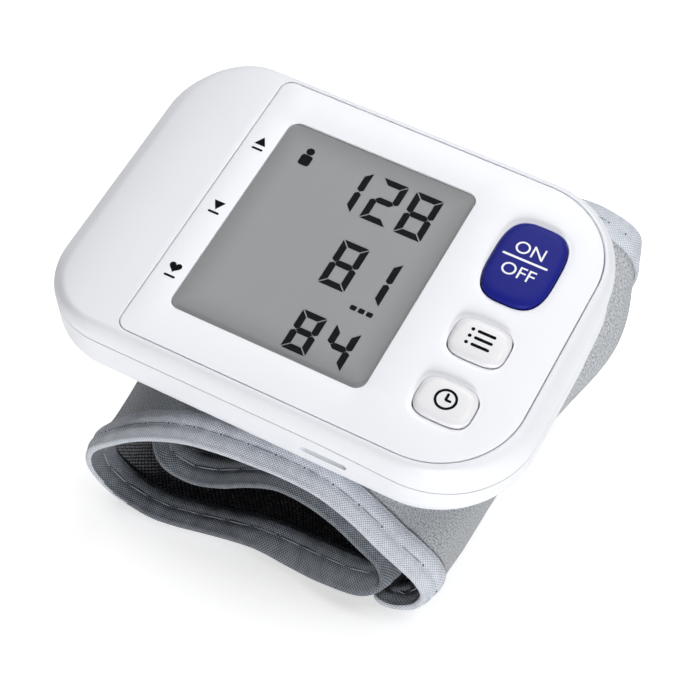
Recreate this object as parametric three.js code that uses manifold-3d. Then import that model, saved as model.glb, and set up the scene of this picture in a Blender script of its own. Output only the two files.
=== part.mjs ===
// Wrist blood pressure monitor: a display unit that stands tilted on its own wound fabric cuff.
// Millimetres, +Z up. The unit has its own frame: X along the display's rows, Y up the display and Z out of
// the face panel, with the origin at the middle of the display on the panel's surface. The cuff is drawn in
// the frame of the table that it stands on, straight below that origin.
import * as THREE from 'three';
import { mergeVertices } from 'three/addons/utils/BufferGeometryUtils.js';
import Module from 'manifold-3d';

const wasm = await Module();
wasm.setup();

// Clearances
const GAP = 0.3;
const SEAM_GAP = 0.25;

// Stance of the unit on its cuff
const PITCH = THREE.MathUtils.degToRad(12);
const ROLL = THREE.MathUtils.degToRad(7);

// Display window, and the face panel round it
const WINDOW_WIDTH = 36;
const WINDOW_HEIGHT = 43.2;
const WINDOW_CORNER = 2;
const LENS_RECESS = 0.3;
const LCD_OVERLAP = 0.3;
const LCD_THICKNESS = 1.5;
const FRAME_BORDER = 2;
const FRAME_LIP = 2;
const FRAME_THICKNESS = 1.1;
const PANEL_MARGIN_LEFT = 5.4;
const PANEL_MARGIN_SIDE = 7.3;
const PANEL_CORNER_LEFT = 2;
const PANEL_CORNER_RIGHT = 15;
const PANEL_THICKNESS = 1.2;
const DECK_THICKNESS = 1.6;
const KEY_COLUMN = 12.8;
const KEY_MARGIN = 16.2;

// Casing
const SLOPE_LENGTH = 17.4;
const SLOPE_DROP = 3.4;
const CASE_CORNER_LEFT = 14;
const CASE_CORNER_RIGHT = 18;
const WALL = 1.6;
const SEAM_Z = -4.2;
const RIM_INSET = 2.3;
const RIM_INSET_RIGHT = 4;
const STRAIGHT_BAND = 4.2;
const TUCK_INSET = 8;

// Buttons: height on the panel, size and corner radius
const BUTTONS = {
  start: { y: 12.25, width: 11.8, height: 16.9, corner: 4.6 },
  memory: { y: -4.7, width: 10.4, height: 8, corner: 2.6 },
  set: { y: -17.2, width: 10.4, height: 8, corner: 2.6 },
};
const BUTTON_PROUD = 0.9;
const BUTTON_CROWN = 1.6;
const BUTTON_FLANGE = 1;
const BUTTON_FLANGE_THICKNESS = 1;
const BUTTON_TRAVEL = 0.6;
const SWITCH_SIDE = 6;
const SWITCH_BODY = 1.9;
const SWITCH_PLUNGER = 0.4;
const SWITCH_PLUNGER_RADIUS = 1.5;

// Batteries
const BATTERY_DIAMETER = 10.5;
const BATTERY_LENGTH = 44.5;
const BATTERY_NUB = 1;
const BATTERY_NUB_RADIUS = 1.9;
const BATTERY_SPACING = 11.8;
const BATTERY_COVER = 3.2;
const BATTERY_INSET = 18.5;
const TERMINAL_ROOM = 2.6;
const RIB = 1.2;
const SPRING_WIRE = 0.5;
const SPRING_TURNS = 3;
const SPRING_RADIUS = 3.4;
const SPRING_TIP_RADIUS = 2.2;
const DOOR_LATCH = 3;
const DOOR_EDGE = 4.2;
const DOOR_TOP_Z = -8.6;

// Air system and electronics
const PUMP_DIAMETER = 9;
const MOTOR_LENGTH = 18;
const PUMP_HEAD_LENGTH = 11.5;
const PUMP_FRONT_Y = -21;
const VALVE_WIDTH = 7.6;
const VALVE_LENGTH = 14;
const VALVE_HEIGHT = 8;
const MANIFOLD_SIDE = 8;
const MANIFOLD_HEIGHT = 7;
const MANIFOLD_Y = 15;
const TUBE_RADIUS = 1.6;
const PUMP_TUBE_STEPS = 6;
const NOZZLE_RADIUS = 2;
const BOARD_THICKNESS = 1.2;
const BOARD_MARGIN = 2.2;
const CONNECTOR_WIDTH = 1.8;
const CONNECTOR_LENGTH = 36;
const SENSOR_SIDE = 8;
const SENSOR_HEIGHT = 4;
const CHIP_SIDE = 12;
const CHIP_HEIGHT = 1.5;
const CHIP_Y = -4;
const BUZZER_RADIUS = 4.5;
const BUZZER_HEIGHT = 3;
const BUZZER_SPACE = 2;
const BUZZER_Y = 14;

// Fasteners
const SCREW_INSET_X = 6.5;
const SCREW_INSET_Y = 11.2;
const POST_RADIUS = 2.7;
const SCREW_RADIUS = 1;
const SCREW_HEAD_RADIUS = 2;
const SCREW_HEAD = 1.2;
const SCREW_HEAD_Z = -12.7;

// Cuff plate in the underside, and the slot in the front wall
const PLATE_LEFT = -3;
const PLATE_RIGHT = 15;
const PLATE_HALF_DEPTH = 18.5;
const PLATE_CORNER = 3;
const SLOT_X = 16;
const SLOT_LENGTH = 8.5;
const SLOT_HEIGHT = 1.5;
const SLOT_DROP = 4.1;
const SLOT_DEPTH = 0.7;

// Cuff layers, counted from the middle of the strip outwards
const CUFF_FRONT_Y = -29.3;
const CUFF_WIDTH = 73.8;
const BLADDER_HALF = 0.3;
const LAYER_GAP = 0.2;
const CLOTH = 0.7;
const TAPE = 0.4;
const TAPE_WIDTH = 7.2;
const TAPE_CHAMFER = 0.5;
const BLADDER_MARGIN = 9;
const HOOK_MARGIN = 10;
const HOOK_THICKNESS = 0.7;
const HINGE_GAP = 0.35;

// Cuff section, from its inner end to its outer end: X and Z at the front edge, X and Z at the back edge, and
// the share of the unit's rise from front to back that lifts the point at the back edge.
const SECTION = [
  [-20.5, 16.4, -22, 17.6, 1],
  [-17.5, 14.8, -17.5, 16.2, 1],
  [-12.2, 13.6, -11.5, 15.7, 1],
  [-6.5, 14.9, -5, 16.6, 1],
  [-0.5, 17.9, 1, 18.2, 1],
  [5, 20.1, 7, 19.2, 1],
  [10.5, 19.6, 13, 18.7, 1],
  [15.5, 17.2, 19, 17, 1],
  [20, 13.6, 25.5, 14, 1],
  [23.2, 10.2, 30.5, 13.2, 0.6],
  [23.4, 7.4, 31.4, 10.4, 0.2],
  [20.4, 5.6, 27, 6.4, 0],
  [14, 3.4, 19, 3.2, 0],
  [7, 2.1, 9, 1.9, 0],
  [0, 2.6, 0, 2, 0],
  [-6, 2.2, -6, 1.9, 0],
  [-11.5, 1.8, -11.5, 1.8, 0],
  [-16, 1.8, -16, 1.8, 0],
  [-20.5, 1.8, -20.5, 1.8, 0],
  [-25, 2, -25, 2, 0],
  [-29.4, 3.8, -29.6, 4.4, 0],
  [-32, 8, -32.6, 10.4, 0],
  [-31.6, 12.3, -33.4, 14, 0.45],
  [-27.2, 16, -32, 16, 0.85],
  [-21.4, 20, -27, 20.2, 1],
  [-13, 23.3, -18, 23.2, 1],
  [-5.5, 24.3, -9, 24.3, 1],
  [1, 24.4, 0, 24.1, 1],
  [7, 24.1, 8, 23.3, 1],
  [13, 22.8, 16, 22.6, 1],
  [19, 19.4, 24, 21, 1],
  [24.4, 14.8, 31.5, 19.2, 1],
  [28.2, 12, 37, 16, 1],
  [30.8, 9.8, 39.4, 12.6, 1],
  [32.2, 7, 39.2, 13, 0.5],
  [30.8, 4.2, 37.6, 8, 0],
  [27.2, 2.5, 33.6, 3.2, 0],
  [22.4, 2.1, 28, 2.2, 0],
];
const HINGE_ROW = 32;
const SEAT_ROW = 28;
const BLADDER_ROWS = [20, 31];
const HOOK_ROWS = [35.6, 36.9];
const STEPS_PER_ROW = 2;

// Plan of the casing that follows from the sizes above
const PANEL_LEFT = -WINDOW_WIDTH / 2 - PANEL_MARGIN_LEFT;
const CASE_LEFT = PANEL_LEFT - SLOPE_LENGTH;
const BUTTON_X = WINDOW_WIDTH / 2 + KEY_COLUMN;
const CASE_RIGHT = BUTTON_X + KEY_MARGIN;
const PANEL_RIGHT = CASE_RIGHT - RIM_INSET_RIGHT;
const PANEL_HALF_DEPTH = WINDOW_HEIGHT / 2 + PANEL_MARGIN_SIDE;
const CASE_HALF_DEPTH = PANEL_HALF_DEPTH + RIM_INSET;
const BATTERY_CENTRE_X = CASE_LEFT + BATTERY_INSET;
const BATTERY_X = [BATTERY_CENTRE_X - BATTERY_SPACING / 2, BATTERY_CENTRE_X + BATTERY_SPACING / 2];
const BAY_RIGHT = BATTERY_X[1] + BATTERY_DIAMETER / 2 + GAP;
const BAY_HALF_LENGTH = BATTERY_LENGTH / 2 + TERMINAL_ROOM;
const DOOR_RIGHT = BAY_RIGHT + RIB + DOOR_LATCH;
const DOOR_HALF_DEPTH = CASE_HALF_DEPTH - DOOR_EDGE;
const SCREW_LEFT_X = DOOR_RIGHT + 2 * GAP + POST_RADIUS;
const SCREW_LEFT_Y = WINDOW_HEIGHT / 2 + FRAME_BORDER + LAYER_GAP + GAP + POST_RADIUS;
const SCREW_RIGHT_X = CASE_RIGHT - SCREW_INSET_X;
const SCREW_RIGHT_Y = CASE_HALF_DEPTH - SCREW_INSET_Y;
const SCREWS = [
  [SCREW_LEFT_X, -SCREW_LEFT_Y], [SCREW_LEFT_X, SCREW_LEFT_Y],
  [SCREW_RIGHT_X, -SCREW_RIGHT_Y], [SCREW_RIGHT_X, SCREW_RIGHT_Y],
];
const MANIFOLD_X = PUMP_DIAMETER / 2 + GAP + VALVE_WIDTH / 2 + 2 * LAYER_GAP;
const BOARD_LEFT = MANIFOLD_X + Math.max(VALVE_WIDTH, MANIFOLD_SIDE) / 2 + GAP;
const CONNECTOR_X = BOARD_LEFT + LAYER_GAP;

// Levels of the casing that follow from the sizes above
const PANEL_UNDER_Z = -PANEL_THICKNESS;
const DECK_Z = PANEL_UNDER_Z - LAYER_GAP;
const DECK_UNDER_Z = DECK_Z - DECK_THICKNESS;
const LCD_TOP_Z = PANEL_UNDER_Z - LAYER_GAP;
const LCD_UNDER_Z = LCD_TOP_Z - LCD_THICKNESS;
const FRAME_Z = Math.min(LCD_UNDER_Z, DECK_UNDER_Z) - LAYER_GAP;
const FRAME_UNDER_Z = FRAME_Z - FRAME_THICKNESS;
const BATTERY_AXIS_Z = -BATTERY_COVER - BATTERY_DIAMETER / 2;
const FLOOR_Z = Math.min(BATTERY_AXIS_Z - BATTERY_DIAMETER / 2, FRAME_UNDER_Z - GAP - PUMP_DIAMETER) - GAP;
const UNDERSIDE_Z = FLOOR_Z - WALL;
const STRAIGHT_Z = SEAM_Z - STRAIGHT_BAND;
const SCREW_TIP_Z = DECK_Z - DECK_THICKNESS / 2 - GAP;
const FLANGE_TOP_Z = DECK_UNDER_Z - LAYER_GAP;
const FLANGE_UNDER_Z = FLANGE_TOP_Z - BUTTON_FLANGE_THICKNESS;
const SWITCH_TOP_Z = FLANGE_UNDER_Z - BUTTON_TRAVEL - LAYER_GAP;
const BOARD_Z = SWITCH_TOP_Z - SWITCH_PLUNGER - SWITCH_BODY - LAYER_GAP;
const BOARD_UNDER_Z = BOARD_Z - BOARD_THICKNESS;
const CLOTH_INNER = BLADDER_HALF + LAYER_GAP;
const CLOTH_OUTER = CLOTH_INNER + CLOTH;
const TAPE_INNER = CLOTH_OUTER + LAYER_GAP;
const TAPE_OUTER = TAPE_INNER + TAPE;

const QUARTER = Math.PI / 2;

// Solids

/** Turns a closed geometry into a solid that can be joined and cut. */
function solid(geometry) {
  const bare = geometry.clone();
  bare.deleteAttribute('normal');
  bare.deleteAttribute('uv');
  const merged = mergeVertices(bare, 1e-4);
  const vertProperties = Float32Array.from(merged.attributes.position.array);
  const triVerts = Uint32Array.from(merged.index.array);
  return new wasm.Manifold(new wasm.Mesh({ numProp: 3, vertProperties, triVerts }));
}

/** Turns a solid back into a geometry. */
function geometryOf(body) {
  const mesh = body.getMesh();
  const geometry = new THREE.BufferGeometry();
  geometry.setAttribute('position', new THREE.BufferAttribute(mesh.vertProperties, 3));
  geometry.setIndex(new THREE.BufferAttribute(mesh.triVerts, 1));
  return geometry;
}

/** Geometry from plain lists of coordinates and corner numbers. */
function meshOf(positions, triangles) {
  const geometry = new THREE.BufferGeometry();
  geometry.setAttribute('position', new THREE.Float32BufferAttribute(positions, 3));
  geometry.setIndex(triangles);
  return geometry;
}

/** Counter-clockwise rectangle with round corners: one radius at its left end and one at its right end. */
function roundedOutline(x0, x1, y0, y1, radiusLeft, radiusRight, steps = 6) {
  const corners = [
    [x1 - radiusRight, y0 + radiusRight, radiusRight, -QUARTER],
    [x1 - radiusRight, y1 - radiusRight, radiusRight, 0],
    [x0 + radiusLeft, y1 - radiusLeft, radiusLeft, QUARTER],
    [x0 + radiusLeft, y0 + radiusLeft, radiusLeft, 2 * QUARTER],
  ];
  const outline = [];
  for (const [x, y, radius, start] of corners) {
    for (let k = 0; k <= steps; k++) {
      const angle = start + (QUARTER * k) / steps;
      outline.push(new THREE.Vector2(x + radius * Math.cos(angle), y + radius * Math.sin(angle)));
    }
  }
  return outline;
}

/** Rounded rectangle about a centre. */
function roundedRect(x, y, width, height, corner, steps = 5) {
  return roundedOutline(x - width / 2, x + width / 2, y - height / 2, y + height / 2, corner, corner, steps);
}

/** Skin over outlines stacked upwards, closed at both ends. */
function loft(levels) {
  const count = levels[0].outline.length;
  const positions = [];
  const triangles = [];
  for (const { outline, z } of levels) {
    for (const point of outline) positions.push(point.x, point.y, z);
  }
  for (let k = 0; k + 1 < levels.length; k++) {
    for (let i = 0; i < count; i++) {
      const j = (i + 1) % count;
      const a = k * count;
      const b = a + count;
      triangles.push(a + i, a + j, b + j, a + i, b + j, b + i);
    }
  }
  const top = (levels.length - 1) * count;
  for (let i = 1; i + 1 < count; i++) {
    triangles.push(0, i + 1, i, top, top + i, top + i + 1);
  }
  return meshOf(positions, triangles);
}

/** Straight prism on an outline, with any holes. */
function prism(outline, z0, z1, holes = []) {
  const shape = new THREE.Shape(outline);
  shape.holes = holes.map((hole) => new THREE.Path(hole));
  const geometry = new THREE.ExtrudeGeometry(shape, { depth: z1 - z0, bevelEnabled: false });
  return geometry.translate(0, 0, z0);
}

function block(x0, x1, y0, y1, z0, z1) {
  const geometry = new THREE.BoxGeometry(x1 - x0, y1 - y0, z1 - z0);
  return geometry.translate((x0 + x1) / 2, (y0 + y1) / 2, (z0 + z1) / 2);
}

/** Upright cylinder. */
function post(x, y, z0, z1, radius, sides = 16) {
  const geometry = new THREE.CylinderGeometry(radius, radius, z1 - z0, sides);
  return geometry.rotateX(QUARTER).translate(x, y, (z0 + z1) / 2);
}

/** Body of revolution about +Y, from a profile of radius and height. */
function turned(profile, sides = 18) {
  return new THREE.LatheGeometry(profile.map(([r, h]) => new THREE.Vector2(r, h)), sides);
}

/** Round tube along a curve. */
function tube(curve, radius, steps, sides = 8) {
  const circle = new THREE.EllipseCurve(0, 0, radius, radius).getPoints(sides);
  const ring = new THREE.Shape(circle.slice(0, sides));
  return new THREE.ExtrudeGeometry(ring, { steps, extrudePath: curve, bevelEnabled: false });
}

// Materials and nodes

const unit = new THREE.Group();
const assembly = new THREE.Group();
assembly.add(unit);

const FINISHES = {
  whiteShell: { color: 0xf1f2f6, roughness: 0.42, metalness: 0 },
  whitePanel: { color: 0xf7f7fb, roughness: 0.3, metalness: 0 },
  whiteKey: { color: 0xf3f3f4, roughness: 0.35, metalness: 0 },
  blueKey: { color: 0x1d2384, roughness: 0.32, metalness: 0 },
  clearLens: { color: 0xdfe3e4, roughness: 0.08, metalness: 0, transparent: true, opacity: 0.3 },
  greyLcd: { color: 0x9b9c9d, roughness: 0.3, metalness: 0 },
  blackPlastic: { color: 0x1e1f21, roughness: 0.5, metalness: 0 },
  greenBoard: { color: 0x1d5a35, roughness: 0.5, metalness: 0 },
  steel: { color: 0xb9bcc0, roughness: 0.3, metalness: 1 },
  brass: { color: 0xc7a552, roughness: 0.35, metalness: 1 },
  cellLabel: { color: 0x2e2f33, roughness: 0.4, metalness: 0 },
  greyRubber: { color: 0x6c6e70, roughness: 0.8, metalness: 0 },
  greyFleece: { color: 0x9a9ea1, roughness: 0.95, metalness: 0 },
  blackKnit: { color: 0x141416, roughness: 0.95, metalness: 0 },
  greyTape: { color: 0xb4bac5, roughness: 0.85, metalness: 0 },
};

/** Adds one named piece to a group. */
function add(group, name, geometry, finish) {
  const mesh = new THREE.Mesh(geometry, new THREE.MeshStandardMaterial(FINISHES[finish]));
  mesh.name = name;
  group.add(mesh);
}

// Casing shells

/** Plan outline of the casing, drawn in by an inset that may differ at the right end. */
function caseOutline(inset, insetRight = inset) {
  const left = CASE_LEFT + inset;
  const right = CASE_RIGHT - insetRight;
  const side = CASE_HALF_DEPTH - inset;
  return roundedOutline(left, right, -side, side, CASE_CORNER_LEFT - inset, CASE_CORNER_RIGHT - inset);
}

const panelOutline = (grow) => roundedOutline(
  PANEL_LEFT - grow, PANEL_RIGHT + grow, -PANEL_HALF_DEPTH - grow, PANEL_HALF_DEPTH + grow,
  PANEL_CORNER_LEFT + grow, PANEL_CORNER_RIGHT + grow);
const windowOutline = (grow) => roundedRect(
  0, 0, WINDOW_WIDTH + 2 * grow, WINDOW_HEIGHT + 2 * grow, WINDOW_CORNER);
const buttonOutline = (key, grow) => roundedRect(
  BUTTON_X, key.y, key.width + 2 * grow, key.height + 2 * grow, key.corner + grow);
const buttonHoles = (grow) => Object.values(BUTTONS).map((key) => buttonOutline(key, grow));

/** Long section of the top: flat over the panel, then bent down towards the left end. */
function topProfile(lower) {
  const start = PANEL_LEFT - 2 * SEAM_GAP;
  const end = CASE_LEFT - 1;
  const shape = new THREE.Shape();
  shape.moveTo(end, 2 * UNDERSIDE_Z);
  shape.lineTo(CASE_RIGHT + 1, 2 * UNDERSIDE_Z);
  shape.lineTo(CASE_RIGHT + 1, 1 - lower);
  shape.lineTo(start, 1 - lower);
  shape.lineTo(start, -lower);
  shape.quadraticCurveTo((start + end) / 2, -lower, end, -SLOPE_DROP - lower);
  const depth = 2 * CASE_HALF_DEPTH + 2;
  const geometry = new THREE.ExtrudeGeometry(shape, { depth, curveSegments: 8, bevelEnabled: false });
  return geometry.rotateX(QUARTER).translate(0, depth / 2, 0);
}

function upperCase() {
  const rim = [];
  const rimSteps = 6;
  for (let k = 0; k <= rimSteps; k++) {
    const angle = (QUARTER * k) / rimSteps;
    const share = 1 - Math.cos(angle);
    const outline = caseOutline(RIM_INSET * share, RIM_INSET_RIGHT * share);
    rim.push({ outline, z: SEAM_Z * (1 - Math.sin(angle)) });
  }
  const room = solid(prism(caseOutline(WALL), SEAM_Z - 1, DECK_UNDER_Z));
  const hollow = room.intersect(solid(topProfile(WALL)));
  let shell = solid(loft(rim)).intersect(solid(topProfile(0))).subtract(hollow);
  shell = shell.subtract(solid(prism(panelOutline(SEAM_GAP), DECK_Z, 1)));
  shell = shell.subtract(solid(prism(windowOutline(LCD_OVERLAP + SEAM_GAP), DECK_UNDER_Z - 1, 1)));
  for (const hole of buttonHoles(SEAM_GAP)) shell = shell.subtract(solid(prism(hole, DECK_UNDER_Z - 1, 1)));
  for (const [x, y] of SCREWS) {
    shell = shell.add(solid(post(x, y, SEAM_Z, DECK_UNDER_Z + LAYER_GAP, POST_RADIUS)));
    shell = shell.subtract(solid(post(x, y, SEAM_Z - 1, SCREW_TIP_Z + GAP, SCREW_RADIUS + GAP, 10)));
  }
  return geometryOf(shell);
}

/** Lower shell or its hollow: straight walls, then tucked in on a quarter round down to the floor. */
function lowerForm(inset, floorZ, topZ) {
  const levels = [];
  const tuckSteps = 7;
  for (let k = tuckSteps; k >= 0; k--) {
    const angle = (QUARTER * k) / tuckSteps;
    const outline = caseOutline(inset + TUCK_INSET * (1 - Math.cos(angle)));
    levels.push({ outline, z: STRAIGHT_Z + (floorZ - STRAIGHT_Z) * Math.sin(angle) });
  }
  levels.push({ outline: caseOutline(inset), z: topZ });
  return solid(loft(levels));
}

const lowerTopZ = SEAM_Z - SEAM_GAP;
const nozzleZ = UNDERSIDE_Z - GAP - CLOTH_OUTER + BLADDER_HALF;

/** Outline of the battery door, which takes in the casing's left end. */
function doorBlock(grow) {
  const side = DOOR_HALF_DEPTH + grow;
  return solid(block(CASE_LEFT - 1, DOOR_RIGHT + grow, -side, side, UNDERSIDE_Z - 1, DOOR_TOP_Z + grow));
}

function slotCutter() {
  const outline = roundedRect(SLOT_X, 0, SLOT_LENGTH, SLOT_HEIGHT, SLOT_HEIGHT / 2.01);
  const cutter = prism(outline, 0, 2 * SLOT_DEPTH).rotateX(QUARTER);
  return cutter.translate(0, SLOT_DEPTH - CASE_HALF_DEPTH, SEAM_Z - SLOT_DROP);
}

const lowerOuter = lowerForm(0, UNDERSIDE_Z, lowerTopZ);
const lowerHollow = lowerForm(WALL, FLOOR_Z, lowerTopZ + 1);

function lowerCase() {
  const ribTop = SEAM_Z - 1;
  const inside = lowerForm(WALL / 2, FLOOR_Z - WALL / 2, lowerTopZ);
  const rib = (x0, x1, y0, y1) => solid(block(x0, x1, y0, y1, UNDERSIDE_Z, ribTop)).intersect(inside);
  let shell = lowerOuter.subtract(lowerHollow);
  shell = shell.add(rib(BAY_RIGHT, BAY_RIGHT + RIB, -CASE_HALF_DEPTH, CASE_HALF_DEPTH));
  shell = shell.add(rib(CASE_LEFT, BAY_RIGHT + RIB, BAY_HALF_LENGTH, BAY_HALF_LENGTH + RIB));
  shell = shell.add(rib(CASE_LEFT, BAY_RIGHT + RIB, -BAY_HALF_LENGTH - RIB, -BAY_HALF_LENGTH));
  shell = shell.subtract(doorBlock(GAP).subtract(lowerForm(WALL + GAP, FLOOR_Z + GAP, lowerTopZ)));
  for (const [x, y] of SCREWS) {
    shell = shell.add(solid(post(x, y, UNDERSIDE_Z, lowerTopZ, POST_RADIUS)).intersect(inside));
    shell = shell.subtract(solid(post(x, y, UNDERSIDE_Z - 1, 0, SCREW_RADIUS + GAP, 10)));
    shell = shell.subtract(solid(post(x, y, UNDERSIDE_Z - 1, SCREW_HEAD_Z, SCREW_HEAD_RADIUS + GAP)));
  }
  shell = shell.subtract(solid(prism(plateOutline(GAP), UNDERSIDE_Z - 1, FLOOR_Z + 1)));
  return geometryOf(shell.subtract(solid(slotCutter())));
}

function plateOutline(grow) {
  const side = PLATE_HALF_DEPTH + grow;
  return roundedOutline(PLATE_LEFT - grow, PLATE_RIGHT + grow, -side, side, PLATE_CORNER, PLATE_CORNER, 3);
}

function cuffPlate() {
  const plate = solid(prism(plateOutline(0), UNDERSIDE_Z, FLOOR_Z));
  const hole = post(MANIFOLD_X, MANIFOLD_Y, UNDERSIDE_Z - 1, FLOOR_Z + 1, NOZZLE_RADIUS + GAP);
  return geometryOf(plate.subtract(solid(hole)));
}

function caseScrew(x, y) {
  const shaftEnd = SCREW_TIP_Z - SCREW_HEAD_Z;
  const profile = [
    [0, -SCREW_HEAD], [SCREW_HEAD_RADIUS * 0.8, -SCREW_HEAD], [SCREW_HEAD_RADIUS, -SCREW_HEAD * 0.6],
    [SCREW_HEAD_RADIUS, -GAP], [SCREW_RADIUS, -GAP], [SCREW_RADIUS, shaftEnd - SCREW_RADIUS], [0, shaftEnd],
  ];
  return turned(profile, 10).rotateX(QUARTER).translate(x, y, SCREW_HEAD_Z);
}

add(unit, 'upper_case', upperCase(), 'whiteShell');
add(unit, 'lower_case', lowerCase(), 'whiteShell');
const lowerShell = lowerOuter.subtract(lowerHollow);
add(unit, 'battery_door', geometryOf(doorBlock(0).intersect(lowerShell)), 'whiteShell');
add(unit, 'cuff_plate', cuffPlate(), 'whiteShell');
SCREWS.forEach(([x, y], k) => add(unit, `case_screw_${k + 1}`, caseScrew(x, y), 'steel'));

// Face panel, display and buttons

/** Clip round three sides of the display cell, open towards the batteries. */
function lcdFrame() {
  const left = BAY_RIGHT + RIB + GAP;
  const innerX = Math.max(WINDOW_WIDTH / 2 - FRAME_LIP, CONNECTOR_X + CONNECTOR_WIDTH + GAP);
  const outerX = innerX + FRAME_LIP + FRAME_BORDER;
  const outerY = WINDOW_HEIGHT / 2 + FRAME_BORDER;
  const innerY = WINDOW_HEIGHT / 2 - FRAME_LIP;
  const corners = [
    [left, -outerY], [outerX, -outerY], [outerX, outerY], [left, outerY],
    [left, innerY], [innerX, innerY], [innerX, -innerY], [left, -innerY],
  ];
  return prism(corners.map(([x, y]) => new THREE.Vector2(x, y)), FRAME_UNDER_Z, FRAME_Z);
}

/** Button cap with a crowned top and a flange that keeps it under the deck. */
function button(key) {
  const crownSteps = 4;
  const levels = [
    { outline: buttonOutline(key, BUTTON_FLANGE), z: FLANGE_UNDER_Z },
    { outline: buttonOutline(key, BUTTON_FLANGE), z: FLANGE_TOP_Z },
    { outline: buttonOutline(key, 0), z: FLANGE_TOP_Z + 1e-3 },
  ];
  for (let k = 0; k <= crownSteps; k++) {
    const angle = (QUARTER * k) / crownSteps;
    const outline = buttonOutline(key, -BUTTON_CROWN * (1 - Math.cos(angle)));
    levels.push({ outline, z: BUTTON_PROUD * Math.sin(angle) });
  }
  return loft(levels);
}

function tactSwitch(key) {
  const half = SWITCH_SIDE / 2;
  const top = SWITCH_TOP_Z - SWITCH_PLUNGER;
  const base = block(BUTTON_X - half, BUTTON_X + half, key.y - half, key.y + half, top - SWITCH_BODY, top);
  const plunger = post(BUTTON_X, key.y, top - SWITCH_BODY / 2, SWITCH_TOP_Z, SWITCH_PLUNGER_RADIUS, 12);
  return geometryOf(solid(base).add(solid(plunger)));
}

const panelHoles = [windowOutline(0), ...buttonHoles(SEAM_GAP)];
add(unit, 'face_panel', prism(panelOutline(0), PANEL_UNDER_Z, 0, panelHoles), 'whitePanel');
add(unit, 'display_lens', prism(windowOutline(-LAYER_GAP), PANEL_UNDER_Z, -LENS_RECESS), 'clearLens');
add(unit, 'lcd_cell', prism(windowOutline(LCD_OVERLAP), LCD_UNDER_Z, LCD_TOP_Z), 'greyLcd');
add(unit, 'lcd_frame', lcdFrame(), 'blackPlastic');
for (const [name, key] of Object.entries(BUTTONS)) {
  add(unit, `${name}_button`, button(key), name === 'start' ? 'blueKey' : 'whiteKey');
  add(unit, `${name}_switch`, tactSwitch(key), 'blackPlastic');
}

// Electronics

function mainBoard() {
  const inset = WALL + BOARD_MARGIN;
  const side = CASE_HALF_DEPTH - inset;
  const outline = roundedOutline(
    BOARD_LEFT, CASE_RIGHT - inset, -side, side, 1, CASE_CORNER_RIGHT - inset);
  let board = solid(prism(outline, BOARD_UNDER_Z, BOARD_Z));
  for (const [x, y] of SCREWS) {
    board = board.subtract(solid(post(x, y, BOARD_UNDER_Z - 1, BOARD_Z + 1, POST_RADIUS + GAP)));
  }
  return geometryOf(board);
}

const onBoardUnder = (height) => [BOARD_UNDER_Z - LAYER_GAP - height, BOARD_UNDER_Z - LAYER_GAP];
const sensorX = MANIFOLD_X + MANIFOLD_SIDE / 2 + 4 * TUBE_RADIUS;

/** Box on the underside of the board, by its left edge, its middle in Y, its side and its height. */
function underBoard(x0, y, side, height) {
  return block(x0, x0 + side, y - side / 2, y + side / 2, ...onBoardUnder(height));
}

function boardParts() {
  const buzzerX = sensorX + SENSOR_SIDE + BUZZER_RADIUS + BUZZER_SPACE;
  const buzzer = post(buzzerX, BUZZER_Y, ...onBoardUnder(BUZZER_HEIGHT), BUZZER_RADIUS, 20);
  const connector = block(
    CONNECTOR_X, CONNECTOR_X + CONNECTOR_WIDTH, -CONNECTOR_LENGTH / 2, CONNECTOR_LENGTH / 2,
    BOARD_Z + LAYER_GAP, LCD_UNDER_Z - LAYER_GAP);
  const chip = underBoard(BUTTON_X - CHIP_SIDE / 2, CHIP_Y, CHIP_SIDE, CHIP_HEIGHT);
  const sensor = underBoard(sensorX, MANIFOLD_Y, SENSOR_SIDE, SENSOR_HEIGHT);
  add(unit, 'main_board', mainBoard(), 'greenBoard');
  add(unit, 'pressure_sensor', sensor, 'blackPlastic');
  add(unit, 'controller_chip', chip, 'blackPlastic');
  add(unit, 'buzzer', buzzer, 'blackPlastic');
  add(unit, 'lcd_connector', connector, 'greyRubber');
}
boardParts();

// Air system

const pumpZ = FLOOR_Z + GAP + PUMP_DIAMETER / 2;
const pumpRadius = PUMP_DIAMETER / 2;
const motorEndY = PUMP_FRONT_Y + MOTOR_LENGTH;
const headEndY = motorEndY + GAP + PUMP_HEAD_LENGTH;
const valveTopZ = FLOOR_Z + GAP + VALVE_HEIGHT;
const valveEndY = PUMP_FRONT_Y + VALVE_LENGTH;
const airZ = FLOOR_Z + GAP + MANIFOLD_HEIGHT / 2;

function pumpMotor() {
  const boss = pumpRadius / 3;
  const profile = [
    [0, 0], [boss, 0], [boss, 1], [pumpRadius, 1], [pumpRadius, MOTOR_LENGTH - 1],
    [pumpRadius - 1, MOTOR_LENGTH], [0, MOTOR_LENGTH],
  ];
  return turned(profile).translate(0, PUMP_FRONT_Y, pumpZ);
}

function pumpHead() {
  const nose = PUMP_HEAD_LENGTH - 3;
  const profile = [
    [0, 0], [pumpRadius, 0], [pumpRadius, nose - 2], [pumpRadius - 1, nose],
    [TUBE_RADIUS, nose], [TUBE_RADIUS, PUMP_HEAD_LENGTH], [0, PUMP_HEAD_LENGTH],
  ];
  return turned(profile).translate(0, motorEndY + GAP, pumpZ);
}

function releaseValve() {
  const half = VALVE_WIDTH / 2;
  const left = MANIFOLD_X - half;
  const body = block(left, left + VALVE_WIDTH, PUMP_FRONT_Y, valveEndY, FLOOR_Z + GAP, valveTopZ);
  const nipple = new THREE.CylinderGeometry(TUBE_RADIUS, TUBE_RADIUS, 4, 10);
  return geometryOf(solid(body).add(solid(nipple.translate(MANIFOLD_X, valveEndY, airZ))));
}

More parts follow.
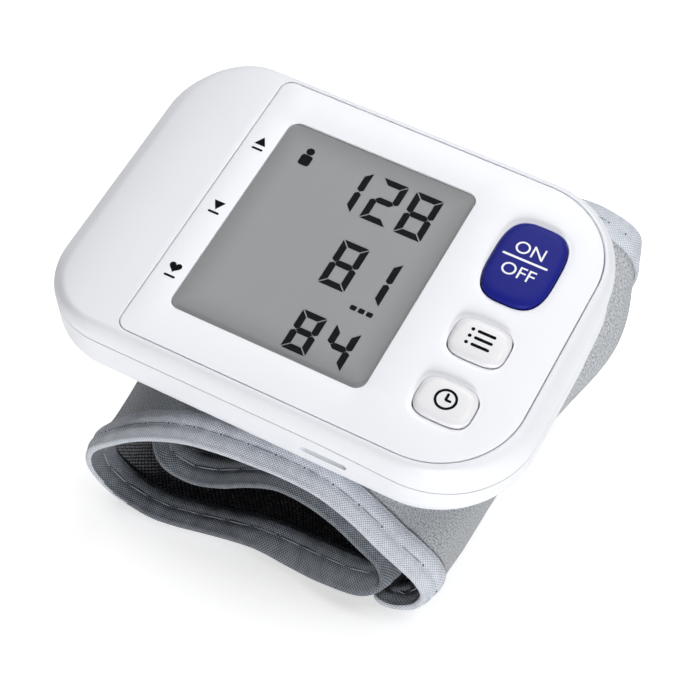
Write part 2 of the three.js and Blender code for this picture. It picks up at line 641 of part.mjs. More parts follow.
function airManifold() {
  const half = MANIFOLD_SIDE / 2;
  const top = airZ + MANIFOLD_HEIGHT / 2;
  const outline = roundedRect(MANIFOLD_X, MANIFOLD_Y, MANIFOLD_SIDE, MANIFOLD_SIDE, 1, 3);
  const body = solid(prism(outline, FLOOR_Z + GAP, top - 1));
  const cap = roundedRect(MANIFOLD_X, MANIFOLD_Y, half, half, 1, 3);
  return geometryOf(body.add(solid(prism(cap, top - 2, top))));
}

/** Tubes between the manifold and the pump, the valve and the sensor. */
function airTubes() {
  const half = MANIFOLD_SIDE / 2;
  const left = MANIFOLD_X - half - GAP;
  const pumpStart = new THREE.Vector3(0, headEndY + GAP, pumpZ);
  const pumpEnd = new THREE.Vector3(left, MANIFOLD_Y, airZ);
  const corner = new THREE.Vector3(0, MANIFOLD_Y, (pumpZ + airZ) / 2);
  const pumpRun = new THREE.QuadraticBezierCurve3(pumpStart, corner, pumpEnd);
  add(unit, 'pump_tube', tube(pumpRun, TUBE_RADIUS, PUMP_TUBE_STEPS), 'greyRubber');
  const valveStart = new THREE.Vector3(MANIFOLD_X, valveEndY + 2 + GAP, airZ);
  const valveEnd = new THREE.Vector3(MANIFOLD_X, MANIFOLD_Y - half - GAP, airZ);
  add(unit, 'valve_tube', tube(new THREE.LineCurve3(valveStart, valveEnd), TUBE_RADIUS, 1), 'greyRubber');
  const sensorZ = BOARD_UNDER_Z - LAYER_GAP - SENSOR_HEIGHT / 2;
  const runZ = Math.min(sensorZ, airZ);
  const sensorStart = new THREE.Vector3(MANIFOLD_X + half + GAP, MANIFOLD_Y, runZ);
  const sensorRun = new THREE.LineCurve3(sensorStart, new THREE.Vector3(sensorX - GAP, MANIFOLD_Y, runZ));
  add(unit, 'sensor_tube', tube(sensorRun, TUBE_RADIUS, 1), 'greyRubber');
}

add(unit, 'pump_motor', pumpMotor(), 'steel');
add(unit, 'pump_head', pumpHead(), 'blackPlastic');
add(unit, 'release_valve', releaseValve(), 'steel');
add(unit, 'air_manifold', airManifold(), 'blackPlastic');
airTubes();
add(unit, 'cuff_nozzle', post(MANIFOLD_X, MANIFOLD_Y, nozzleZ, FLOOR_Z, NOZZLE_RADIUS, 14), 'blackPlastic');

// Batteries and their contacts

/** One cell along Y: its nub points to +Y when the turn is 1, and to -Y when it is -1. */
function battery(x, turn) {
  const radius = BATTERY_DIAMETER / 2;
  const can = BATTERY_LENGTH / 2 - BATTERY_NUB;
  const profile = [
    [0, -BATTERY_LENGTH / 2], [radius - 1, -BATTERY_LENGTH / 2], [radius, 0.5 - BATTERY_LENGTH / 2],
    [radius, can - 0.5], [radius - 0.8, can], [BATTERY_NUB_RADIUS, can],
    [BATTERY_NUB_RADIUS, BATTERY_LENGTH / 2], [0, BATTERY_LENGTH / 2],
  ];
  return facing(turned(profile, 20), turn).translate(x, 0, BATTERY_AXIS_Z);
}

function facing(geometry, turn) {
  return turn > 0 ? geometry : geometry.rotateZ(Math.PI);
}

/** Sprung leaf at a cell's nub. */
function terminal(x, turn) {
  const tip = BATTERY_LENGTH / 2 + GAP;
  const back = BAY_HALF_LENGTH - LAYER_GAP;
  const profile = [
    [0, tip], [BATTERY_NUB_RADIUS, tip + SPRING_WIRE], [SPRING_RADIUS, back - SPRING_WIRE],
    [SPRING_RADIUS, back], [0, back],
  ];
  return facing(turned(profile, 14), turn).translate(x, 0, BATTERY_AXIS_Z);
}

/** Cone of wire between a cell's flat end and the wall of the bay. */
class SpringCurve extends THREE.Curve {
  getPoint(t, target = new THREE.Vector3()) {
    const angle = 2 * Math.PI * SPRING_TURNS * t;
    const radius = SPRING_TIP_RADIUS + (SPRING_RADIUS - SPRING_TIP_RADIUS) * t;
    const start = BATTERY_LENGTH / 2 + GAP + SPRING_WIRE / 2;
    const end = BAY_HALF_LENGTH - LAYER_GAP - SPRING_WIRE / 2;
    return target.set(radius * Math.cos(angle), start + (end - start) * t, radius * Math.sin(angle));
  }
}

function batterySpring(x, turn) {
  const wire = tube(new SpringCurve(), SPRING_WIRE / 2, 10 * SPRING_TURNS, 5);
  return facing(wire, -turn).translate(x, 0, BATTERY_AXIS_Z);
}

['left', 'right'].forEach((side, k) => {
  const turn = k === 0 ? 1 : -1;
  add(unit, `battery_${side}`, battery(BATTERY_X[k], turn), 'cellLabel');
  add(unit, `battery_terminal_${side}`, terminal(BATTERY_X[k], turn), 'brass');
  add(unit, `battery_spring_${side}`, batterySpring(BATTERY_X[k], turn), 'steel');
});

// Cuff

const RISE = CUFF_WIDTH * Math.tan(PITCH);
const cuffBackY = CUFF_FRONT_Y + CUFF_WIDTH;
const frontEdge = new THREE.CatmullRomCurve3(
  SECTION.map(([x, z]) => new THREE.Vector3(x, CUFF_FRONT_Y, z)));
const backEdge = new THREE.CatmullRomCurve3(
  SECTION.map(([, , x, z, lift]) => new THREE.Vector3(x, cuffBackY, z + lift * RISE)));

/** Point of the strip: place along the section, distance from the front edge, and height off its middle. */
function stripPoint(row, across, height) {
  const t = THREE.MathUtils.clamp(row / (SECTION.length - 1), 0, 1);
  const share = across / CUFF_WIDTH;
  const point = frontEdge.getPoint(t).lerp(backEdge.getPoint(t), share);
  const along = frontEdge.getTangent(t).lerp(backEdge.getTangent(t), share);
  const width = backEdge.getPoint(t).sub(frontEdge.getPoint(t));
  return point.addScaledVector(along.cross(width).normalize(), height);
}

/** Sweeps a profile of distance and height along the strip from one row to another. */
function sweep(profile, fromRow, toRow) {
  const steps = Math.max(2, Math.round((toRow - fromRow) * STEPS_PER_ROW));
  const count = profile.length;
  const positions = [];
  const triangles = [];
  for (let k = 0; k <= steps; k++) {
    const row = fromRow + ((toRow - fromRow) * k) / steps;
    for (const [across, height] of profile) positions.push(...stripPoint(row, across, height).toArray());
  }
  for (let k = 0; k < steps; k++) {
    for (let i = 0; i < count; i++) {
      const j = (i + 1) % count;
      const a = k * count;
      const b = a + count;
      triangles.push(a + i, a + j, b + j, a + i, b + j, b + i);
    }
  }
  const faces = THREE.ShapeUtils.triangulateShape(profile.map(([w, h]) => new THREE.Vector2(w, h)), []);
  const end = steps * count;
  for (const [a, b, c] of faces) triangles.push(c, b, a, end + a, end + b, end + c);
  return meshOf(positions, triangles);
}

const slab = (margin, low, high) => [
  [margin, low], [CUFF_WIDTH - margin, low], [CUFF_WIDTH - margin, high], [margin, high],
];
const clothMargin = TAPE + LAYER_GAP;
const clothProfile = slab(clothMargin, CLOTH_INNER, CLOTH_OUTER);
const liningProfile = slab(clothMargin, -CLOTH_OUTER, -CLOTH_INNER);
const bladderProfile = slab(BLADDER_MARGIN, -BLADDER_HALF, BLADDER_HALF);
const hookProfile = slab(HOOK_MARGIN, -TAPE_INNER - HOOK_THICKNESS, -TAPE_INNER);
const frontTape = [
  [0, -TAPE_OUTER + TAPE_CHAMFER], [TAPE_CHAMFER, -TAPE_OUTER], [TAPE_WIDTH, -TAPE_OUTER],
  [TAPE_WIDTH, -TAPE_INNER], [TAPE, -TAPE_INNER], [TAPE, TAPE_INNER], [TAPE_WIDTH, TAPE_INNER],
  [TAPE_WIDTH, TAPE_OUTER], [TAPE_CHAMFER, TAPE_OUTER], [0, TAPE_OUTER - TAPE_CHAMFER],
];
const backTape = frontTape.map(([across, height]) => [CUFF_WIDTH - across, height]).reverse();

/** How far along the section, in rows, a distance at the hinge reaches on the shorter front edge. */
function rowsFor(distance) {
  const last = SECTION.length - 1;
  const a = frontEdge.getPoint((HINGE_ROW - 0.5) / last);
  const b = frontEdge.getPoint((HINGE_ROW + 0.5) / last);
  return distance / a.distanceTo(b);
}

/** Stands the unit on the cuff: its underside meets the cloth along the cuff's highest row. */
function placeUnit() {
  unit.rotation.set(PITCH, ROLL, 0, 'YXZ');
  const seat = stripPoint(SEAT_ROW, CUFF_WIDTH / 2, 0);
  const normal = new THREE.Vector3(0, 0, 1).applyEuler(unit.rotation);
  const below = UNDERSIDE_Z - 2 * GAP - CLOTH_OUTER;
  unit.position.set(0, 0, (seat.dot(normal) - below) / normal.z);
  unit.updateMatrix();
}

function cuffCloth(endRow) {
  const hole = post(MANIFOLD_X, MANIFOLD_Y, nozzleZ - 2, UNDERSIDE_Z, NOZZLE_RADIUS + GAP);
  const cloth = solid(sweep(clothProfile, 0, endRow));
  return geometryOf(cloth.subtract(solid(hole.applyMatrix4(unit.matrix))));
}

placeUnit();
const last = SECTION.length - 1;
const bandEnd = HINGE_ROW - rowsFor(HINGE_GAP);
const flapStart = HINGE_ROW + rowsFor(HINGE_GAP);
add(assembly, 'cuff_cloth', cuffCloth(bandEnd), 'greyFleece');
add(assembly, 'cuff_lining', sweep(liningProfile, 0, bandEnd), 'blackKnit');
add(assembly, 'cuff_bladder', sweep(bladderProfile, ...BLADDER_ROWS), 'greyRubber');
add(assembly, 'cuff_tape_front', sweep(frontTape, 0, bandEnd), 'greyTape');
add(assembly, 'cuff_tape_back', sweep(backTape, 0, bandEnd), 'greyTape');
add(assembly, 'flap_cloth', sweep(clothProfile, flapStart, last), 'greyFleece');
add(assembly, 'flap_lining', sweep(liningProfile, flapStart, last), 'blackKnit');
add(assembly, 'flap_tape_front', sweep(frontTape, flapStart, last), 'greyTape');
add(assembly, 'flap_tape_back', sweep(backTape, flapStart, last), 'greyTape');
add(assembly, 'hook_patch', sweep(hookProfile, ...HOOK_ROWS), 'blackKnit');

// The origin is at the middle of the object's footprint, on the table.
const box = new THREE.Box3().setFromObject(assembly, true);
const middle = box.getCenter(new THREE.Vector3());
assembly.position.set(-middle.x, -middle.y, -box.min.z);

export default assembly;
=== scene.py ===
"""Looks of a wrist blood pressure monitor that stands tilted on its own wound fabric cuff.

Sizes are in millimetres unless a name says otherwise, and finished meshes are in metres in the frame of the
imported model. The casing is drawn in the unit's own frame: X along the display's rows, Y up the display and Z
out of the face panel, with the origin at the middle of the display on the panel's surface.
"""
import logging
import math
from collections.abc import Callable
from dataclasses import dataclass, field
from enum import Enum
from functools import cache

import bmesh
import bpy
import numpy as np
from mathutils import Matrix, Vector


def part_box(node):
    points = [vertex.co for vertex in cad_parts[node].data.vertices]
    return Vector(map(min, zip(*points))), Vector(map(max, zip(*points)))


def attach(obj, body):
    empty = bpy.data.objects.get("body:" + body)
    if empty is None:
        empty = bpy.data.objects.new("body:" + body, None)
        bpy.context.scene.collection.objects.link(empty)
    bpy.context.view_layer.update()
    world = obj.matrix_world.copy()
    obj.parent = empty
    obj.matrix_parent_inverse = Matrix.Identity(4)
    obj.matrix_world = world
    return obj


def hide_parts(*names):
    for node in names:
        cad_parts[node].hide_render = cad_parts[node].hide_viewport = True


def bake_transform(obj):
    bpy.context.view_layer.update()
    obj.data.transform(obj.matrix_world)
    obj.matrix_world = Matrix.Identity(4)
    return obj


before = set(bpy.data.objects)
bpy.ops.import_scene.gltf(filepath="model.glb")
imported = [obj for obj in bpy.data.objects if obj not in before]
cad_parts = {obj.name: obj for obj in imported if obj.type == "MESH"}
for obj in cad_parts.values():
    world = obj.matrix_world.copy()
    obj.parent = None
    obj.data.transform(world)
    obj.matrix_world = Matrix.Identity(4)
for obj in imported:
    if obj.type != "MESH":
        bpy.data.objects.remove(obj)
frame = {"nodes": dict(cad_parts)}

Tree = bpy.types.NodeTree
Node = bpy.types.Node
Socket = bpy.types.NodeSocket
Piece = bpy.types.Object
Array = np.ndarray
Pair = tuple[float, float]
Triple = tuple[float, float, float]

LOG = logging.getLogger("monitor")
MM = 0.001
SEED = 11
QUARTER = math.pi / 2
SHARP_ANGLE = math.radians(38)
STRIP_PLACE = "strip_place"
PLAN_PLACE = "plan_place"
WELD = 1e-5
CUT_REACH = 1e-6
MOTTLE_MM = 9.0
UNEVEN_MM = 1.7

# Power of a squircle that is an ellipse
ELLIPSE = 2.0

# Place of the middle point of a softened edge, as a share of the edge's width
SOFT_SHARE = 0.3


class Body(str, Enum):
    """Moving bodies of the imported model."""

    BASE = "base"
    START = "start_key"
    MEMORY = "memory_key"
    SET = "set_key"
    DOOR = "door"
    FLAP = "flap"


class Part(Enum):
    """Parts of the cuff's bound edge: the band's outer turn, the inner end and the flap."""

    FRONT = 1
    BACK = 2
    INNER = 3
    FLAP = 4


class Slot(str, Enum):
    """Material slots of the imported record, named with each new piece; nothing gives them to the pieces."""

    CASE = "case_white"
    PANEL = "panel_white"
    KEY_WHITE = "key_white"
    KEY_BLUE = "key_blue"
    LENS = "lens_clear"
    LCD = "lcd_grey"
    RUBBER = "grey_rubber"
    FLEECE = "fleece_grey"
    KNIT = "knit_black"
    TAPE = "tape_grey"


# Colour and node helpers


def linear(code: str, share: float = 1.0) -> tuple[float, float, float, float]:
    """Turns a screen colour into the linear colour that shaders use.

    Args:
        code: Six hexadecimal digits, red first.
        share: Share of its brightness that is kept.

    Returns:
        Red, green, blue and an alpha of 1.
    """
    parts = [int(code[k:k + 2], 16) / 255 for k in (0, 2, 4)]
    straight = [c / 12.92 if c <= 0.04045 else ((c + 0.055) / 1.055) ** 2.4 for c in parts]
    return (*(c * share for c in straight), 1.0)


def adjust(thing: bpy.types.bpy_struct, **settings) -> bpy.types.bpy_struct:
    """Sets properties of something in the scene.

    Args:
        thing: What is set.
        **settings: Its properties by name, in order.

    Returns:
        The same thing.
    """
    for name, value in settings.items():
        setattr(thing, name, value)
    return thing


def feed(tree: Tree, node: Node, inputs: dict) -> None:
    """Sets or links a node's inputs.

    Args:
        tree: Tree that holds the node.
        node: The node.
        inputs: Socket name or number, with a value or with a socket to link from.
    """
    for name, value in inputs.items():
        if isinstance(value, Socket):
            tree.links.new(value, node.inputs[name])
        else:
            node.inputs[name].default_value = value


def add_node(tree: Tree, kind: str, inputs: dict | None = None, **settings) -> Node:
    """Adds a node to a tree.

    Args:
        tree: Tree that gets the node.
        kind: Blender's name of the node's type.
        inputs: Values or sockets for its inputs, by socket name or number.
        **settings: Properties of the node, set before its inputs.

    Returns:
        The new node.
    """
    node = adjust(tree.nodes.new(kind), **settings)
    feed(tree, node, inputs or {})
    return node


def math_node(tree: Tree, operation: str, *terms) -> Socket:
    """Result of a Math node on numbers or sockets, in order."""
    return add_node(tree, "ShaderNodeMath", dict(enumerate(terms)), operation=operation).outputs[0]


def mix_colour(tree: Tree, share, first, second) -> Socket:
    """Mix of two colours or sockets, at a share of 0 for the first and 1 for the second."""
    return add_node(tree, "ShaderNodeMix", {0: share, 6: first, 7: second}, data_type="RGBA").outputs[2]


def span(tree: Tree, value: Socket, low: float, high: float, start: float = 0.0, end: float = 1.0) -> Socket:
    """Value mapped from start and end to low and high, and clamped there."""
    return add_node(tree, "ShaderNodeMapRange", {0: value, 1: start, 2: end, 3: low, 4: high}).outputs[0]


def noise(tree: Tree, place: Socket, size_mm: float, detail: float = 2.0, rough: float = 0.5) -> Socket:
    """Noise at a place in metres, with the size of a grain, and the number and strength of finer layers."""
    inputs = {"Vector": place, "Scale": 1 / (size_mm * MM), "Detail": detail, "Roughness": rough}
    return add_node(tree, "ShaderNodeTexNoise", inputs).outputs[0]


def bump(tree: Tree, height: Socket, depth_mm: float, share: float) -> Socket:
    """Normal of a bump, from its height, the depth of the full height and the share of it that shows."""
    inputs = {"Height": height, "Distance": depth_mm * MM, "Strength": share}
    return add_node(tree, "ShaderNodeBump", inputs).outputs[0]


def own_place(tree: Tree) -> Socket:
    """Place in the row frame, in metres."""
    return add_node(tree, "ShaderNodeTexCoord").outputs["Object"]


def named_place(tree: Tree, attribute: str) -> Socket:
    """Place on the piece that one of its attributes gives."""
    return add_node(tree, "ShaderNodeAttribute", attribute_name=attribute).outputs["Vector"]


def new_tree(kind: str, name: str, inputs: dict[str, str],
             outputs: dict[str, str]) -> tuple[Tree, bpy.types.bpy_prop_collection, Node]:
    """Starts a node tree with named sockets.

    Args:
        kind: Blender's name of the tree's type.
        name: Name of the tree.
        inputs: Kind of each input by its name.
        outputs: Kind of each output by its name.

    Returns:
        The tree, the sockets of its input node, and its output node.
    """
    tree = bpy.data.node_groups.new(name, kind)
    for way, sockets in (("INPUT", inputs), ("OUTPUT", outputs)):
        for title, value in sockets.items():
            tree.interface.new_socket(title, in_out=way, socket_type="NodeSocket" + value)
    return tree, tree.nodes.new("NodeGroupInput").outputs, tree.nodes.new("NodeGroupOutput")


@cache
def moulded_grain() -> Tree:
    """Builds the group for moulded surfaces: a fine spark-eroded grain and a broad, faint mottle.

    Returns:
        The node group.
    """
    tree, source, out = new_tree("ShaderNodeTree", "moulded_grain",
                                 {"Vector": "Vector", "Grain scale": "Float"},
                                 {"Height": "Float", "Mottle": "Float"})
    inputs = {"Vector": source["Vector"], "Scale": source["Grain scale"], "Detail": 3.0}
    grain = add_node(tree, "ShaderNodeTexNoise", inputs).outputs[0]
    feed(tree, out, {"Height": grain, "Mottle": noise(tree, source["Vector"], MOTTLE_MM)})
    return tree


@cache
def plain_weave() -> Tree:
    """Builds the group for woven cloth: yarns that pass over and under each other, and uneven yarn.

    Returns:
        The node group.
    """
    tree, source, out = new_tree("ShaderNodeTree", "plain_weave", {"Vector": "Vector", "Pitch": "Float"},
                                 {"Height": "Float", "Uneven": "Float"})
    parts = add_node(tree, "ShaderNodeSeparateXYZ", {0: source["Vector"]}).outputs
    crossing, waves = [], []
    for axis in (0, 1):
        place = math_node(tree, "DIVIDE", parts[axis], source["Pitch"])
        crossing.append(math_node(tree, "FLOOR", place))
        turn = math_node(tree, "MULTIPLY", math_node(tree, "FRACT", place), math.pi)
        waves.append(math_node(tree, "SINE", turn))
    odd = math_node(tree, "FLOORED_MODULO", math_node(tree, "ADD", *crossing), 2.0)
    top = add_node(tree, "ShaderNodeMix", {0: odd, 2: waves[0], 3: waves[1]}).outputs[0]
    both = math_node(tree, "MULTIPLY", *waves)
    height = math_node(tree, "MULTIPLY", math_node(tree, "ADD", top, both), 0.5)
    feed(tree, out, {"Height": height, "Uneven": noise(tree, source["Vector"], UNEVEN_MM, 3.0)})
    return tree


# Finishes

# Shader inputs that are even over the whole surface, by the finish's field
EVEN_INPUTS = {
    "roughness": "Roughness", "specular": "Specular IOR Level", "metallic": "Metallic", "alpha": "Alpha",
    "coat": "Coat Weight", "coat_roughness": "Coat Roughness", "sheen": "Sheen Weight",
    "sheen_roughness": "Sheen Roughness",
}


@dataclass(frozen=True)
class Finish:
    """A surface finish that becomes one material the first time that it is asked for."""

    name: str

    def material(self) -> bpy.types.Material:
        """Gives the finish's material, made once.

        Returns:
            The material.
        """
        made = bpy.data.materials.get(self.name)
        if made is None:
            made = adjust(bpy.data.materials.new(self.name), use_nodes=True)
            tree = made.node_tree
            even = {socket: getattr(self, own) for own, socket in EVEN_INPUTS.items() if hasattr(self, own)}
            feed(tree, tree.nodes["Principled BSDF"], even | self.inputs(tree))
        return made

    def inputs(self, tree: Tree) -> dict:
        """Builds the nodes of what varies over the surface; each kind of finish has its own.

        Args:
            tree: The material's tree.

        Returns:
            Sockets and values for the shader's inputs, by name.
        """
        raise NotImplementedError


@dataclass(frozen=True)
class Moulded(Finish):
    """Moulded plastic or rubber with a fine grain."""

    colour: str
    roughness: float
    grain_mm: float = 0.22
    depth_mm: float = 0.012
    shift: float = 0.03
    coat: float = 0.0
    coat_roughness: float = 0.2
    specular: float = 0.5
    gloss_range: Pair = (0.9, 1.12)
    bump_share: float = 0.6

    def inputs(self, tree: Tree) -> dict:
        """Builds the plastic's colour, gloss and grain."""
        values = {"Vector": own_place(tree), "Grain scale": 1 / (self.grain_mm * MM)}
        grain = add_node(tree, "ShaderNodeGroup", values, node_tree=moulded_grain()).outputs
        low, high = (self.roughness * share for share in self.gloss_range)
        dim, full = linear(self.colour, 1 - self.shift), linear(self.colour)
        return {"Base Color": mix_colour(tree, grain["Mottle"], dim, full),
                "Roughness": span(tree, grain["Height"], low, high),
                "Normal": bump(tree, grain["Height"], self.depth_mm, self.bump_share)}


@dataclass(frozen=True)
class Metal(Finish):
    """Drawn or plated metal with fine lines along one direction."""

    colour: str
    roughness: float
    metallic: float = 1.0
    line_mm: float = 0.08
    line_scale: Triple = (1.0, 0.04, 1.0)
    line_shade: float = 0.8
    gloss_range: Pair = (0.8, 1.25)
    depth_mm: float = 0.006
    bump_share: float = 0.5

    def inputs(self, tree: Tree) -> dict:
        """Builds the metal's colour and drawn lines."""
        drawn = add_node(tree, "ShaderNodeMapping", {0: own_place(tree), 3: self.line_scale}).outputs[0]
        lines = noise(tree, drawn, self.line_mm, 3.0)
        low, high = (self.roughness * share for share in self.gloss_range)
        dim, full = linear(self.colour, self.line_shade), linear(self.colour)
        return {"Base Color": mix_colour(tree, lines, dim, full),
                "Roughness": span(tree, lines, low, high),
                "Normal": bump(tree, lines, self.depth_mm, self.bump_share)}


@dataclass(frozen=True)
class Woven(Finish):
    """Woven cloth whose yarns follow the strip."""

    light: str
    dark: str
    pitch_mm: float
    depth_mm: float
    turn_deg: float = 0.0
    sheen: float = 0.25
    sheen_roughness: float = 0.45
    roughness: float = 0.8
    specular: float = 0.3
    yarn_range: Pair = (0.15, 0.75)
    dull_range: Pair = (0.35, 0.7)
    dull_share: float = 0.35
    bump_share: float = 0.9

    def inputs(self, tree: Tree) -> dict:
        """Builds the cloth's yarns and uneven colour."""
        turn = (0, 0, math.radians(self.turn_deg))
        turned = add_node(tree, "ShaderNodeMapping", {0: named_place(tree, STRIP_PLACE), 2: turn}).outputs[0]
        values = {"Vector": turned, "Pitch": self.pitch_mm * MM}
        weave = add_node(tree, "ShaderNodeGroup", values, node_tree=plain_weave()).outputs
        light, dark = linear(self.light), linear(self.dark)
        yarn = mix_colour(tree, span(tree, weave["Height"], 0, 1, *self.yarn_range), dark, light)
        dull = span(tree, weave["Uneven"], 0, self.dull_share, *self.dull_range)
        return {"Base Color": mix_colour(tree, dull, yarn, dark),
                "Normal": bump(tree, weave["Height"], self.depth_mm, self.bump_share)}


@dataclass(frozen=True)
class Fleece(Finish):
    """Brushed loop fleece with a speckled pile."""

    light: str
    mid: str
    dark: str
    loop_mm: float
    loop_layers: float = 4.0
    loop_rough: float = 0.65
    fine_size: float = 0.35
    fine_share: float = 0.5
    stops: Triple = (0.36, 0.5, 0.64)
    patch_mm: float = 14.0
    patch_range: Pair = (0.35, 0.75)
    patch_share: float = 0.3
    roughness: float = 0.95
    sheen: float = 0.4
    sheen_roughness: float = 0.6
    specular: float = 0.15
    depth_mm: float = 0.35
    bump_share: float = 0.8

    def inputs(self, tree: Tree) -> dict:
        """Builds the speckled pile and its soft bump."""
        place = named_place(tree, STRIP_PLACE)
        loops = noise(tree, place, self.loop_mm, self.loop_layers, self.loop_rough)
        fine = noise(tree, place, self.loop_mm * self.fine_size)
        pile = math_node(tree, "ADD", loops, math_node(tree, "MULTIPLY", fine, self.fine_share))
        speckle = add_node(tree, "ShaderNodeValToRGB", {0: loops})
        ramp = speckle.color_ramp.elements
        for k, (spot, code) in enumerate(zip(self.stops, (self.dark, self.mid, self.light))):
            stop = ramp[k] if k < 2 else ramp.new(spot)
            adjust(stop, position=spot, color=linear(code))
        patch = span(tree, noise(tree, place, self.patch_mm), 0, self.patch_share, *self.patch_range)
        return {"Base Color": mix_colour(tree, patch, speckle.outputs[0], linear(self.mid)),
                "Normal": bump(tree, pile, self.depth_mm, self.bump_share)}


@dataclass(frozen=True)
class Glass(Finish):
    """Clear window moulding: a faint, glossy film with a trace of wipe marks."""

    colour: str
    alpha: float
    wipe_mm: float = 6.0
    gloss_range: Pair = (0.04, 0.1)
    specular: float = 0.15

    def inputs(self, tree: Tree) -> dict:
        """Builds the film's tint and wipe marks."""
        wipe = noise(tree, own_place(tree), self.wipe_mm)
        return {"Base Color": linear(self.colour), "Roughness": span(tree, wipe, *self.gloss_range)}


@dataclass(frozen=True)
class Display(Finish):
    """Reflective display cell: even grey in the middle, darker towards the frame, where the frame's shade is
    painted on.
    """

    middle: str
    # Colour at the frame is painted shade of the window's frame; it starts at a share of the way out and grows
    # by a power
    edge: str
    painted_shade_start: float = 0.72
    painted_shade_power: float = 1.6
    grain_mm: float = 0.12
    grain_share: float = 0.12
    roughness: float = 0.6
    specular: float = 0.06

    def inputs(self, tree: Tree) -> dict:
        """Builds the grey field and its painted shade towards the frame from the cell's own plan attribute."""
        plan = named_place(tree, PLAN_PLACE)
        outward = add_node(tree, "ShaderNodeVectorMath", {0: plan}, operation="ABSOLUTE").outputs[0]
        parts = add_node(tree, "ShaderNodeSeparateXYZ", {0: outward}).outputs
        rim = span(tree, math_node(tree, "MAXIMUM", parts[0], parts[1]), 0, 1, self.painted_shade_start, 1)
        middle, edge = linear(self.middle), linear(self.edge)
        grey = mix_colour(tree, math_node(tree, "POWER", rim, self.painted_shade_power), middle, edge)
        grain = span(tree, noise(tree, own_place(tree), self.grain_mm, 1.0), 0, self.grain_share)
        return {"Base Color": mix_colour(tree, grain, grey, edge)}


@dataclass(frozen=True)
class Board(Finish):
    """Circuit board with a solder mask over copper tracks."""

    mask: str
    track: str
    track_scale: float = 160.0
    track_width: float = 0.06
    roughness: float = 0.35
    depth_mm: float = 0.03
    bump_share: float = 0.5

    def inputs(self, tree: Tree) -> dict:
        """Builds the tracks as a brick-like pattern under the mask."""
        values = {"Vector": own_place(tree), "Scale": self.track_scale, "Mortar Size": self.track_width}
        tracks = add_node(tree, "ShaderNodeTexBrick", values).outputs["Fac"]
        return {"Base Color": mix_colour(tree, tracks, linear(self.mask), linear(self.track)),
                "Normal": bump(tree, tracks, self.depth_mm, self.bump_share)}


CASE_WHITE = Moulded("case_white_plastic", "eef0f5", 0.4, coat=0.05)
PANEL_WHITE = Moulded("panel_white_plastic", "f7f8fd", 0.45, depth_mm=0.006)
KEY_WHITE = Moulded("key_white_plastic", "f0f0f3", 0.36)
KEY_BLUE = Moulded("key_blue_plastic", "1c2286", 0.5, shift=0.08, specular=0.12)
PRINT_WHITE = Moulded("print_white_ink", "f6f6fa", 0.5, grain_mm=0.1, depth_mm=0.004)
PRINT_DARK = Moulded("print_dark_ink", "0a0b0d", 0.6, grain_mm=0.1, depth_mm=0.004, specular=0.05)
LCD_INK = Moulded("lcd_segment", "121316", 0.6, grain_mm=0.1, depth_mm=0.002, specular=0.05)
# Display grey, with a darker painted shade towards the window's frame
LCD_GREY = Display("lcd_grey_cell", "b1b2b3", "979899")
LENS_CLEAR = Glass("lens_clear_plastic", "3a3c40", 0.06)
BLACK = Moulded("black_plastic_satin", "1e1f21", 0.5)
RUBBER = Moulded("grey_rubber_matte", "6c6e70", 0.75, grain_mm=0.35, depth_mm=0.02)
LABEL = Moulded("cell_label_film", "2e2f33", 0.32, coat=0.2)
STEEL = Metal("steel_drawn", "c3c6ca", 0.3)
BRASS = Metal("brass_plated", "c9a95a", 0.32)
BOARD = Board("board_green_mask", "1d5a35", "2f7a4a")
FLEECE = Fleece("fleece_grey_pile", "e0e3e7", "bbbfc4", "72767b", 0.3)
KNIT = Woven("knit_black_cloth", "7c7d82", "09090b", 0.66, 0.24, turn_deg=38.0, sheen=0.15)
TAPE = Woven("tape_grey_binding", "eff2f8", "aeb5c2", 0.36, 0.1, turn_deg=45.0)
# Darker copy of the binding tape: painted shade for its faces inside the loop and for the inner end's tape
TAPE_PAINTED_SHADE = Woven("tape_grey_painted_shade", "959ba4", "34383f", 0.36, 0.1, turn_deg=45.0)
THREAD = Woven("thread_grey", "cfd4de", "8e949f", 0.2, 0.05)
# Dark beads at the ends of the stitches: painted shade in the needle holes
STITCH_HOLE_PAINTED_SHADE = Moulded("stitch_hole_shade", "555a64", 0.9)
HOOKS = Moulded("hook_black_nylon", "17181a", 0.45)


# Mesh helpers

# One edge of a plate: its outline by growth, and its profile of growth and height from the top down
Contour = tuple[Callable[[float], Array], list[Pair]]


